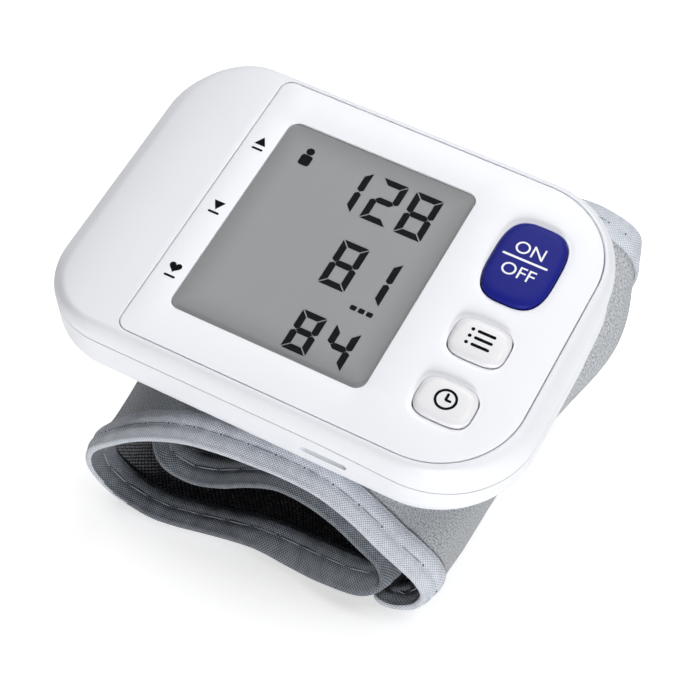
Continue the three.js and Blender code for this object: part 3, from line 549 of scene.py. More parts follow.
class Skin:
    """Vertices and faces of one piece, gathered ring by ring in millimetres."""

    def __init__(self) -> None:
        """Starts with no faces."""
        self.mesh = bmesh.new()

    def ring(self, points: Array) -> list[bmesh.types.BMVert]:
        """Adds one vertex for each point of a ring, with X, Y and Z in each row."""
        return [self.mesh.verts.new(point) for point in points.tolist()]

    def bridge(self, low: list, high: list, closed: bool = True) -> None:
        """Joins two rings by faces that point outwards if they turn left about +Z and high lies above.

        Args:
            low: Vertices of the lower ring.
            high: Vertices of the upper ring.
            closed: Whether the last vertex joins the first one.
        """
        count = len(low) if closed else len(low) - 1
        for k in range(count):
            n = (k + 1) % len(low)
            self.mesh.faces.new((low[k], low[n], high[n], high[k]))

    def fill(self, loops: list[list], up: bool) -> None:
        """Closes a flat outline with holes.

        Args:
            loops: Vertices of the outline and of each hole.
            up: Whether the faces look along +Z.
        """
        edges = []
        for loop in loops:
            for k, vertex in enumerate(loop):
                pair = (loop[k - 1], vertex)
                edges.append(self.mesh.edges.get(pair) or self.mesh.edges.new(pair))
        normal = Vector((0, 0, 1 if up else -1))
        bmesh.ops.triangle_fill(self.mesh, use_beauty=True, use_dissolve=False, edges=edges, normal=normal)

    def prism(self, outline: Array, low: float, high: float) -> None:
        """Adds a closed straight prism on a flat outline.

        Args:
            outline: X and Y of each corner, turning left.
            low: Z of the lower end.
            high: Z of the upper end.
        """
        rings = [self.ring(lift(outline, z)) for z in (low, high)]
        self.bridge(*rings)
        self.mesh.faces.new(rings[1])
        self.mesh.faces.new(list(reversed(rings[0])))

    def piece(self, name: str, finish: Finish, place: Matrix, outward: bool = True) -> Piece:
        """Turns the skin into an object.

        Args:
            name: Name of the piece.
            finish: Its finish.
            place: Matrix from the skin's millimetres to metres in the row frame.
            outward: Whether the faces are turned outwards first, as on a closed skin.

        Returns:
            The new object.
        """
        bmesh.ops.remove_doubles(self.mesh, verts=self.mesh.verts, dist=WELD)
        if outward:
            bmesh.ops.recalc_face_normals(self.mesh, faces=self.mesh.faces)
        self.mesh.transform(place)
        made = bpy.data.meshes.new(name)
        self.mesh.to_mesh(made)
        self.mesh.free()
        return as_object(name, made, finish)


def linked(name: str, data: bpy.types.ID) -> Piece:
    """Adds an object to the scene.

    Args:
        name: Name of the object.
        data: Its mesh, curve, camera or light.

    Returns:
        The new object.
    """
    made = bpy.data.objects.new(name, data)
    bpy.context.scene.collection.objects.link(made)
    return made


def smooth(mesh: bpy.types.Mesh) -> None:
    """Shades a mesh smoothly, with sharp edges where its faces turn."""
    mesh.shade_smooth()
    mesh.set_sharp_from_angle(angle=SHARP_ANGLE)


def as_object(name: str, mesh: bpy.types.Mesh, finish: Finish) -> Piece:
    """Makes a smooth object of a mesh.

    Args:
        name: Name of the object.
        mesh: Its mesh, in metres.
        finish: Its finish.

    Returns:
        The new object.
    """
    made = linked(name, mesh)
    mesh.materials.clear()
    mesh.materials.append(finish.material())
    smooth(mesh)
    return made


def evaluated(piece: Piece) -> bpy.types.Mesh:
    """Plain mesh of an object with its modifiers applied."""
    bpy.context.view_layer.update()
    return bpy.data.meshes.new_from_object(piece.evaluated_get(bpy.context.evaluated_depsgraph_get()))


def settle(piece: Piece) -> None:
    """Applies a piece's modifiers to its mesh."""
    made = evaluated(piece)
    piece.modifiers.clear()
    piece.data = made
    smooth(made)


def give_vectors(mesh: bpy.types.Mesh, name: str, vectors: Array) -> None:
    """Keeps a vector for each vertex of a mesh as a named attribute."""
    attribute = mesh.attributes.new(name, "FLOAT_VECTOR", "POINT")
    attribute.data.foreach_set("vector", vectors.astype(np.float32).ravel())


def ease(share: Array | float) -> Array | float:
    """Smooth step from 0 to 1."""
    return share * share * (3 - 2 * share)


def hump(rows: Array, middle: float, width: float) -> Array:
    """Smooth hump, 1 at its middle and fading over its width to both sides."""
    return np.exp(-((rows - middle) / width) ** 2)


def quarter(steps: int) -> list[Pair]:
    """Points of a quarter round in even turns: how far it has gone inward and upward, from 0 to 1."""
    turns = [QUARTER * k / steps for k in range(steps + 1)]
    return [(1 - math.cos(turn), math.sin(turn)) for turn in turns]


def travelled(spots: Array) -> Array:
    """Distance from the first point to each point of a line, along the line."""
    return np.concatenate([[0], np.cumsum(np.linalg.norm(np.diff(spots, axis=0), axis=1))])


def lift(outline: Array, z: float | Array) -> Array:
    """X, Y and Z of a flat outline at one height, or at one for each point."""
    return np.column_stack([outline, np.broadcast_to(z, len(outline))])


def run(start: Pair, end: Pair, steps: int) -> Array:
    """X and Y of evenly spaced points on a straight line, without its end."""
    share = np.arange(steps)[:, None] / steps
    return np.array(start) * (1 - share) + np.array(end) * share


def bend(centre: Pair, radius: float, start: float, steps: int, last: bool = False) -> Array:
    """X and Y of a quarter round that turns left from an angle, with or without its last point."""
    angle = start + QUARTER * np.arange(steps + last) / steps
    return np.array(centre) + radius * np.column_stack([np.cos(angle), np.sin(angle)])


def rounded_box(x: float, y: float, width: float, height: float, corner: float, steps: int = 12) -> Array:
    """Outline of a rectangle with round corners.

    Args:
        x: Middle along X.
        y: Middle along Y.
        width: Size along X.
        height: Size along Y.
        corner: Radius of the corners.
        steps: Steps on each corner.

    Returns:
        X and Y in each row, turning left.
    """
    a, b = width / 2 - corner, height / 2 - corner
    middles = ((x + a, y - b), (x + a, y + b), (x - a, y + b), (x - a, y - b))
    rounds = [bend(spot, corner, (k - 1) * QUARTER, steps, last=True) for k, spot in enumerate(middles)]
    return np.concatenate(rounds)


def squircle(x: float, y: float, width: float, height: float, power: float, steps: int = 96) -> Array:
    """Outline of a rectangle whose sides bulge and whose corners are full.

    Args:
        x: Middle along X.
        y: Middle along Y.
        width: Size along X.
        height: Size along Y.
        power: ELLIPSE, or more for squarer corners.
        steps: Number of points.

    Returns:
        X and Y in each row, turning left.
    """
    angle = 2 * math.pi * np.arange(steps) / steps
    cos, sin = np.cos(angle), np.sin(angle)
    reach = (np.abs(cos) ** power + np.abs(sin) ** power) ** (-1 / power)
    return np.column_stack([x + width / 2 * reach * cos, y + height / 2 * reach * sin])


def plate(name: str, finish: Finish, place: Matrix, contours: list[Contour]) -> Piece:
    """Builds a closed flat plate with shaped edges.

    Args:
        name: Name of the piece.
        finish: Its finish.
        place: Matrix from millimetres to metres in the row frame.
        contours: The outer edge and each hole, whose first heights agree, and whose last ones do.

    Returns:
        The plate.
    """
    skin = Skin()
    tops, bottoms = [], []
    for outline, profile in contours:
        rings = [skin.ring(lift(outline(grow), z)) for grow, z in profile]
        for high, low in zip(rings, rings[1:]):
            skin.bridge(low, high)
        tops.append(rings[0])
        bottoms.append(rings[-1])
    skin.fill(tops, True)
    skin.fill(bottoms, False)
    return skin.piece(name, finish, place)


def printed(name: str, ink: Finish, place: Matrix, shapes: list[Array], low: float, high: float) -> Piece:
    """Builds print as thin solids on flat outlines.

    Args:
        name: Name of the piece.
        ink: Its finish.
        place: Matrix from millimetres to metres in the row frame.
        shapes: The outlines, turning left.
        low: Z of their lower ends.
        high: Z of their upper ends.

    Returns:
        The print.
    """
    skin = Skin()
    for shape in shapes:
        skin.prism(shape, low, high)
    return skin.piece(name, ink, place)


def label(piece: Piece, carrier: str, nodes: tuple[str, ...]) -> Piece:
    """Hides the CAD nodes that a piece stands for, and logs the piece.

    Args:
        piece: The finished piece.
        carrier: What carries it, for the log.
        nodes: CAD nodes that the piece replaces.

    Returns:
        The piece.
    """
    if nodes:
        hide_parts(*nodes)
    LOG.info("%s rides on %s, %d faces", piece.name, carrier, len(piece.data.polygons))
    return piece


def hold(piece: Piece, body: Body, slot: Slot, *nodes: str) -> Piece:
    """Lets a piece ride on a body, and labels it."""
    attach(piece, body.value)
    return label(piece, body.value, nodes)


# Stance


@dataclass(frozen=True)
class Stance:
    """How the display unit stands above the table, and where the cuff's drawing lies below it."""

    pitch_deg: float = 12.0
    roll_deg: float = 7.0
    lens_middle_z: float = -0.75
    drawing_lift: float = 0.0326

    def turn(self) -> Matrix:
        """Turn of the unit: it is pitched first, and then rolled."""
        roll = Matrix.Rotation(math.radians(self.roll_deg), 4, "Y")
        return roll @ Matrix.Rotation(math.radians(self.pitch_deg), 4, "X")

    def origin(self) -> Vector:
        """Origin of the unit's frame in the row frame, in metres, found from the display's window."""
        low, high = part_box("display_lens")
        return (low + high) / 2 - self.turn() @ Vector((0, 0, self.lens_middle_z * MM))

    def matrix(self) -> Matrix:
        """Matrix from the unit's millimetres to metres in the row frame."""
        return Matrix.Translation(self.origin()) @ self.turn() @ Matrix.Scale(MM, 4)

    def cuff_matrix(self) -> Matrix:
        """Matrix from the cuff drawing's millimetres to metres in the row frame."""
        spot = self.origin()
        shift = Vector((spot.x, spot.y, self.drawing_lift * MM))
        return Matrix.Translation(shift) @ Matrix.Scale(MM, 4)


# Casing


@dataclass
class Casing:
    """White casing: an upper shell with a sloped left end, a lower shell, and the battery door."""

    place: Matrix
    left: float = -40.8
    right: float = 45.7
    side: float = 31.2
    corner_left: float = 14.0
    corner_right: float = 17.4
    wall: float = 1.6
    edge: float = 0.16
    seam_z: float = -4.2
    seam_fall: float = 3.2
    seam_fall_start: float = 8.0
    seam_edge: float = 0.07
    seam_gap: float = 0.2
    rim_inset: float = 2.9
    panel_left: float = -23.4
    panel_right: float = 43.0
    panel_side: float = 28.9
    panel_corner_left: float = 2.0
    panel_corner_right: float = 15.0
    slope_drop: float = 3.4
    slope_start: float = -23.9
    slope_end: float = -41.8
    deck_z: float = -1.4
    deck_under_z: float = -3.0
    ledge: float = 1.2
    straight_z: float = -10.2
    underside_z: float = -15.6
    tuck_inset: float = 5.4
    door_right: float = -6.65
    door_side: float = 27.0
    door_top_z: float = -8.6
    door_gap: float = 0.3
    plate_left: float = -3.0
    plate_right: float = 15.0
    plate_side: float = 18.5
    plate_corner: float = 3.0
    plate_steps: int = 6
    screws: tuple[Pair, ...] = ((-3.35, -26.8), (-3.35, 26.8), (40.5, -20.0), (40.5, 20.0))
    screw_hole: float = 2.3
    screw_hole_top: float = -11.5
    screw_steps: int = 32
    slot_x: float = 16.0
    slot_z: float = -8.3
    slot_length: float = 8.5
    slot_height: float = 1.5
    slot_round: float = 2.01
    slot_depth: float = 1.1
    lean: float = 2.0
    lean_start: Triple = (20.0, 4.0, -1.0)
    rim_steps: int = 14
    slope_steps: int = 16
    tuck_steps: int = 18
    short_steps: int = 6
    long_steps: int = 44
    arc_steps: int = 22
    end_steps: int = 26
    pocket_arc_steps: int = 16
    pocket_end_steps: int = 40

    def plan(self, left: float, right: float, side: float, r_left: float, r_right: float) -> Array:
        """Outline of the casing with the same number of points on each of its stretches.

        Args:
            left: Left end.
            right: Right end.
            side: Half its depth.
            r_left: Radius of the left corners.
            r_right: Radius of the right corners.

        Returns:
            X and Y in each row, turning left from the panel's front left corner.
        """
        split = self.panel_left + self.panel_corner_left
        near_right, near_left = right - r_right, left + r_left
        high_right, high_left = side - r_right, side - r_left
        arc, end, long, short = self.arc_steps, self.end_steps, self.long_steps, self.short_steps
        return np.concatenate([
            run((split, -side), (near_right, -side), long),
            bend((near_right, -high_right), r_right, -QUARTER, arc),
            run((right, -high_right), (right, high_right), end),
            bend((near_right, high_right), r_right, 0, arc),
            run((near_right, side), (split, side), long),
            run((split, side), (near_left, side), short),
            bend((near_left, high_left), r_left, QUARTER, arc),
            run((left, high_left), (left, -high_left), end),
            bend((near_left, -high_left), r_left, 2 * QUARTER, arc),
            run((near_left, -side), (split, -side), short),
        ])

    def right_count(self) -> int:
        """Number of points from the panel's front left corner round the right end to its back left corner."""
        return 2 * self.long_steps + 2 * self.arc_steps + self.end_steps

    def outer(self, inset: float) -> Array:
        """Outline of the casing, drawn in by an inset."""
        return self.plan(self.left + inset, self.right - inset, self.side - inset,
                         self.corner_left - inset, self.corner_right - inset)

    def rim_end(self) -> Array:
        """Line where the rim's round ends: along the panel's pocket, and near the edge on the left."""
        grow = self.seam_gap + self.edge
        return self.plan(self.left + self.rim_inset, self.panel_right + grow, self.panel_side + grow,
                         self.corner_left - self.rim_inset, self.panel_corner_right + grow)

    def pocket(self, grow: float) -> Array:
        """Outline of the panel's pocket, with a point for each point of the casing's outline.

        Args:
            grow: Distance by which it is grown all round.

        Returns:
            X and Y in each row, turning left.
        """
        side = self.panel_side + grow
        ring = self.plan(self.left, self.panel_right + grow, side, self.corner_left,
                         self.panel_corner_right + grow)
        count = self.right_count()
        rim = self.rim_end()
        far = np.concatenate([rim[count:], rim[:1]])
        split = self.panel_left + self.panel_corner_left
        radius = self.panel_corner_left + grow
        low = side - radius
        near = np.concatenate([
            bend((split, low), radius, QUARTER, self.pocket_arc_steps),
            run((split - radius, low), (split - radius, -low), self.pocket_end_steps),
            bend((split, -low), radius, 2 * QUARTER, self.pocket_arc_steps),
            [(split, -side)],
        ])
        spread = [travelled(path) for path in (far, near)]
        share = spread[0] / spread[0][-1] * spread[1][-1]
        path = np.column_stack([np.interp(share, spread[1], near[:, k]) for k in (0, 1)])
        ring[count:] = path[:-1]
        return ring

    def top(self, x: Array) -> Array:
        """Height of the top at each X: level over the panel, and bent down towards the left end."""
        share = np.clip((self.slope_start - x) / (self.slope_start - self.slope_end), 0, None)
        return -self.slope_drop * share ** 2

    def seam(self, x: Array) -> Array:
        """Height of the upper shell's lower edge at each X, which falls towards the right end."""
        share = np.clip((x - self.seam_fall_start) / (self.right - self.seam_fall_start), 0, None)
        return self.seam_z - self.seam_fall * share ** 2

    def upper_skin(self) -> Skin:
        """Upper shell as one closed skin: wall, rim, sloped top, pocket, underside and inner wall.

        Returns:
            The skin in the unit's frame.
        """
        skin = Skin()
        outer, rim = self.outer(0), self.rim_end()
        foot = self.seam(outer[:, 0])
        shoulder = np.maximum(foot, self.seam_z) + self.seam_edge
        rings = [skin.ring(lift(self.outer(self.seam_edge), foot)),
                 skin.ring(lift(outer, foot + self.seam_edge))]
        for inward, upward in quarter(self.rim_steps):
            line = outer + (rim - outer) * inward
            height = shoulder + (self.top(line[:, 0]) - shoulder) * upward
            rings.append(skin.ring(lift(line, height)))
        count = self.right_count()
        grow = self.seam_gap + self.edge
        far = np.concatenate([rim[count:], rim[:1]])
        edge = self.pocket(grow)
        near = np.concatenate([edge[count:], edge[:1]])
        patch = [rings[-1][count:] + rings[-1][:1]]
        for k in range(1, self.slope_steps + 1):
            line = far + (near - far) * k / self.slope_steps
            patch.append(skin.ring(lift(line, self.top(line[:, 0]))))
        for low, high in zip(patch, patch[1:]):
            skin.bridge(low, high, closed=False)
        rings.append(rings[-1][:count] + patch[-1][:-1])
        start = len(rings) - 1
        half, gap = self.edge * SOFT_SHARE, self.seam_gap
        for inset, z in ((gap + half, -half), (gap, -self.edge), (gap, self.deck_z),
                         (-self.ledge, self.deck_z), (-self.ledge, self.deck_under_z)):
            rings.append(skin.ring(lift(self.pocket(inset), z)))
        inner = self.outer(self.wall)
        roof = np.clip(self.top(inner[:, 0]) - self.wall, self.seam_z + self.edge, self.deck_under_z)
        rings.append(skin.ring(lift(inner, roof)))
        rings.append(skin.ring(lift(inner, self.seam(inner[:, 0]))))
        for k in [*range(start - 1), *range(start, len(rings) - 1)]:
            skin.bridge(rings[k], rings[k + 1])
        skin.bridge(rings[-1], rings[0])
        self.lean_in(skin)
        return skin

    def lower_skin(self) -> Skin:
        """Outer face of the lower shell, open at the seam, with a hole for the cuff plate.

        Returns:
            The skin in the unit's frame.
        """
        skin = Skin()
        high = self.seam(self.outer(0)[:, 0]) - self.seam_gap
        soft = self.seam_edge
        levels = [(soft, high), (0, high - soft), (0, (high + self.straight_z) / 2)]
        drop = self.underside_z - self.straight_z
        for inward, downward in quarter(self.tuck_steps):
            levels.append((self.tuck_inset * inward, self.straight_z + drop * downward))
        rings = [skin.ring(lift(self.outer(inset), z)) for inset, z in levels]
        for upper, lower in zip(rings, rings[1:]):
            skin.bridge(lower, upper)
        gap = self.door_gap
        middle = (self.plate_left + self.plate_right) / 2
        width = self.plate_right - self.plate_left + 2 * gap
        hole = rounded_box(middle, 0, width, 2 * (self.plate_side + gap), self.plate_corner,
                           self.plate_steps)
        skin.fill([rings[-1], skin.ring(lift(hole, self.underside_z))], False)
        self.lean_in(skin)
        return skin

    def lean_in(self, skin: Skin) -> None:
        """Draws the wall of the back right corner in, most at half its height.

        Args:
            skin: Skin whose vertices are moved.
        """
        x0, y0, z0 = self.lean_start
        way = Vector((-1, -1, 0)).normalized()
        for vertex in skin.mesh.verts:
            across = max(vertex.co.x - x0, 0) / (self.right - x0)
            upward = max(vertex.co.y - y0, 0) / (self.side - y0)
            below = max(z0 - vertex.co.z, 0) / (z0 - self.underside_z)
            vertex.co += way * self.lean * across * upward * math.sin(math.pi * below)

    def cut(self, skin: Skin, keep_door: bool) -> None:
        """Cuts a lower skin along the battery door and keeps one side of the cut.

        Args:
            skin: Skin that is cut.
            keep_door: Whether the door is kept, or what is left round it.
        """
        grow = 0 if keep_door else self.door_gap
        x1, y1, z1 = self.door_right + grow, self.door_side + grow, self.door_top_z + grow
        for point, normal in (((x1, 0, 0), (1, 0, 0)), ((0, y1, 0), (0, 1, 0)), ((0, -y1, 0), (0, -1, 0)),
                              ((0, 0, z1), (0, 0, 1))):
            parts = skin.mesh.verts[:] + skin.mesh.edges[:] + skin.mesh.faces[:]
            bmesh.ops.bisect_plane(skin.mesh, geom=parts, dist=CUT_REACH, plane_co=point, plane_no=normal)
        doomed = []
        for face in skin.mesh.faces:
            spot = face.calc_center_median()
            in_door = spot.x < x1 and abs(spot.y) < y1 and spot.z < z1
            if in_door != keep_door:
                doomed.append(face)
        bmesh.ops.delete(skin.mesh, geom=doomed, context="FACES")

    def slot_cutter(self) -> Piece:
        """Solid that presses the small slot into the front wall."""
        corner = self.slot_height / self.slot_round
        outline = rounded_box(self.slot_x, 0, self.slot_length, self.slot_height, corner)
        upright = Matrix.Translation((0, -self.side, self.slot_z)) @ Matrix.Rotation(QUARTER, 4, "X")
        return printed("slot_cutter", CASE_WHITE, self.place @ upright, [outline], -self.slot_depth,
                       2 * self.slot_depth)

    def screw_cutter(self) -> Piece:
        """Solid that drills the four screw holes through the underside."""
        size = 2 * self.screw_hole
        holes = [squircle(x, y, size, size, ELLIPSE, self.screw_steps) for x, y in self.screws]
        return printed("screw_cutter", CASE_WHITE, self.place, holes, self.underside_z - self.wall,
                       self.screw_hole_top)

    def build(self) -> None:
        """Builds the two shells and the door, and lets them ride on their bodies."""
        upper = self.upper_skin()
        hold(upper.piece("upper_shell", CASE_WHITE, self.place), Body.BASE, Slot.CASE, "upper_case")
        shells = {}
        for name, keep_door in (("lower_shell", False), ("battery_hatch", True)):
            skin = self.lower_skin()
            self.cut(skin, keep_door)
            shells[name] = skin.piece(name, CASE_WHITE, self.place, outward=False)
            adjust(shells[name].modifiers.new("wall", "SOLIDIFY"), thickness=self.wall * MM, offset=-1,
                   use_even_offset=True)
        cutters = (self.slot_cutter(), self.screw_cutter())
        for cutter in cutters:
            adjust(shells["lower_shell"].modifiers.new(cutter.name, "BOOLEAN"), operation="DIFFERENCE",
                   solver="EXACT", object=cutter)
        for piece in shells.values():
            settle(piece)
        for cutter in cutters:
            bpy.data.objects.remove(cutter)
        hold(shells["lower_shell"], Body.BASE, Slot.CASE, "lower_case")
        hold(shells["battery_hatch"], Body.DOOR, Slot.CASE, "battery_door")


# Face panel, display and keys

KEY_X = 30.8

# Steps on each corner of a printed bar
PRINT_STEPS = 4


@dataclass(frozen=True)
class KeySize:
    """Plan of one key on the panel, and how square its corners are."""

    name: str
    body: Body
    y: float
    width: float
    height: float
    power: float
    finish: Finish
    slot: Slot

    def outline(self, grow: float) -> Array:
        """Outline of the key on the panel, grown all round."""
        return squircle(KEY_X, self.y, self.width + 2 * grow, self.height + 2 * grow, self.power)


KEYS = (
    KeySize("start", Body.START, 12.25, 11.6, 16.6, 3.2, KEY_BLUE, Slot.KEY_BLUE),
    KeySize("memory", Body.MEMORY, -4.7, 9.9, 7.6, 3.4, KEY_WHITE, Slot.KEY_WHITE),
    KeySize("set", Body.SET, -17.2, 9.9, 7.6, 3.4, KEY_WHITE, Slot.KEY_WHITE),
)


@dataclass
class FacePanel:
    """White face panel with the display's window and shallow dishes round the keys."""

    casing: Casing
    window_width: float = 36.0
    window_height: float = 43.2
    window_corner: float = 2.0
    thickness: float = 1.2
    key_gap: float = 0.2
    dish_width: float = 0.95
    dish_depth: float = 0.14
    dish_steps: int = 6
    lens_gap: float = 0.2
    lens_top_z: float = -0.06
    lens_under_z: float = -0.3
    lcd_top_z: float = -0.36
    lcd_under_z: float = -2.9
    deck_gap: float = 0.05

    def window(self, grow: float) -> Array:
        """Outline of the display's window, grown all round."""
        width, height = self.window_width + 2 * grow, self.window_height + 2 * grow
        return rounded_box(0, 0, width, height, self.window_corner)

    def edge_profile(self, sign: int, top: float, bottom: float) -> list[Pair]:
        """Softened edge: -1 on an outer edge and 1 on a hole, from the top down."""
        soft, half = self.casing.edge, self.casing.edge * SOFT_SHARE
        return [(sign * soft, top), (sign * half, top - half), (0, top - soft), (0, bottom)]

    def dish_profile(self) -> list[Pair]:
        """Dish round a key: a smooth dip from the panel's face to the edge of the key's hole.

        Returns:
            Growth and height of each point, from the top down.
        """
        near = self.key_gap + self.casing.edge
        shares = [k / self.dish_steps for k in range(self.dish_steps)]
        dip = [(near + self.dish_width * (1 - share), -self.dish_depth * ease(share)) for share in shares]
        edge = self.edge_profile(1, -self.dish_depth, -self.thickness)
        return dip + [(self.key_gap + grow, z) for grow, z in edge]

    def opened(self, name: str, finish: Finish, rim: list, window: list, hole: list) -> Piece:
        """Builds a flat sheet with openings for the display and the keys.

        Args:
            name: Name of the piece.
            finish: Its finish.
            rim: Profile of its outer edge.
            window: Profile of the display's opening.
            hole: Profile of each key's opening.

        Returns:
            The sheet.
        """
        contours = [(self.casing.pocket, rim), (self.window, window)]
        contours += [(key.outline, hole) for key in KEYS]
        return plate(name, finish, self.casing.place, contours)

    def panel(self) -> Piece:
        """Builds the panel itself."""
        rim, window = (self.edge_profile(sign, 0, -self.thickness) for sign in (-1, 1))
        return self.opened("front_panel", PANEL_WHITE, rim, window, self.dish_profile())

    def deck(self) -> Piece:
        """Builds the deck under the panel, with the same openings."""
        rim, hole = ([(grow, self.casing.deck_z), (grow, self.casing.deck_under_z)]
                     for grow in (-self.casing.ledge - self.deck_gap, self.key_gap))
        return self.opened("panel_deck", CASE_WHITE, rim, hole, hole)

    def lens(self) -> Piece:
        """Builds the clear window."""
        edge = self.edge_profile(-1, self.lens_top_z, self.lens_under_z)
        rim = [(grow - self.lens_gap, z) for grow, z in edge]
        return plate("window_lens", LENS_CLEAR, self.casing.place, [(self.window, rim)])

    def cell(self) -> Piece:
        """Builds the display cell with its plan attribute, which runs from -1 to 1 across the window.

        Returns:
            The cell.
        """
        rim = [(-self.lens_gap / 2, z) for z in (self.lcd_top_z, self.lcd_under_z)]
        made = plate("display_cell", LCD_GREY, Matrix.Identity(4), [(self.window, rim)])
        spots = np.array([v.co for v in made.data.vertices])
        give_vectors(made.data, PLAN_PLACE, spots / (self.window_width / 2, self.window_height / 2, 1))
        made.data.transform(self.casing.place)
        return made

    def build(self) -> None:
        """Builds the panel, deck, window and display cell."""
        hold(self.panel(), Body.BASE, Slot.PANEL, "face_panel")
        hold(self.deck(), Body.BASE, Slot.CASE)
        hold(self.lens(), Body.BASE, Slot.LENS, "display_lens")
        hold(self.cell(), Body.BASE, Slot.LCD, "lcd_cell")


# Strokes of a digit: a on top, b and c on the right, d below, e and f on the left, g in the middle
DIGIT_STROKES = {"1": "bc", "2": "abged", "4": "fgbc", "8": "abcdefg"}


@dataclass(frozen=True)
class Readout:
    """One row of digits: the left edge and the width of each digit, and the row's lower and upper edge."""

    digits: tuple[tuple[str, float, float], ...]
    low: float
    high: float


@dataclass
class DisplayPrint:
    """Figures and signs on the display cell, as its segments show them.

    They lie below the window, so they are shifted along the camera's sight to meet the photograph.
    """

    panel: FacePanel
    thickness: float = 0.02
    stroke: float = 1.2
    gap: float = 0.16
    sight: Pair = (0.348, -0.599)
    readouts: tuple[Readout, ...] = (
        Readout((("1", -5.2, 5.2), ("2", 1.8, 4.9), ("8", 8.2, 5.1)), 8.4, 17.7),
        Readout((("8", 1.8, 4.9), ("1", 8.1, 4.9)), -6.3, 3.2),
        Readout((("8", 2.4, 4.5), ("4", 8.7, 4.5)), -20.1, -12.1),
    )

    def strokes(self, width: float, height: float) -> dict[str, Array]:
        """Outlines of a digit's seven strokes, from its lower left corner.

        Args:
            width: Width of the digit.
            height: Height of the digit.

        Returns:
            Corners of each stroke, turning left.
        """
        t, g, n, m = self.stroke, self.gap, self.stroke / 2, height / 2
        inner, outer, middle = width - t - g, width - g, width - n - g
        top = np.array([(g, height), (t + g, height - t), (inner, height - t), (outer, height)])
        left = np.array([(0, height - g), (0, m + n / 2 + g), (n, m + g / 2), (t, m + n / 2 + g),
                         (t, height - t - g)])
        bar = np.array([(n + g, m), (t + g, m - n), (inner, m - n), (middle, m), (inner, m + n),
                        (t + g, m + n)])
        down, over = np.array((0, height)), np.array((width, 0))
        return {"a": top, "b": (left * (-1, 1) + over)[::-1], "c": over + down - left,
                "d": (top * (1, -1) + down)[::-1], "e": (left * (1, -1) + down)[::-1], "f": left, "g": bar}

    def person(self) -> list[Array]:
        """Small user sign: a head over a square body."""
        x, y, rise = -11.95, 14.75, 2.0
        return [squircle(x, y + rise, 1.5, 1.5, ELLIPSE, 20), rounded_box(x, y, 2.1, 2.3, 0.5, PRINT_STEPS)]

    def unit_bars(self) -> list[Array]:
        """Three short bars where the unit stands."""
        x, y, pitch = 9.5, -8.2, 1.5
        return [rounded_box(x + pitch * k, y, 1.1, 0.9, 0.2, 3) for k in range(3)]

    def build(self) -> None:
        """Builds every lit segment as a thin solid on the cell's face."""
        face, place = self.panel.lcd_top_z, self.panel.casing.place
        shapes = self.person() + self.unit_bars()
        for readout in self.readouts:
            for digit, x, width in readout.digits:
                strokes = self.strokes(width, readout.high - readout.low)
                shapes += [strokes[name] + (x, readout.low) for name in DIGIT_STROKES[digit]]
        shift = np.array(self.sight) * (face + self.thickness)
        ink = printed("display_figures", LCD_INK, place, [shape + shift for shape in shapes],
                      face + self.thickness / 2, face + 2 * self.thickness)
        hold(ink, Body.BASE, Slot.LCD)


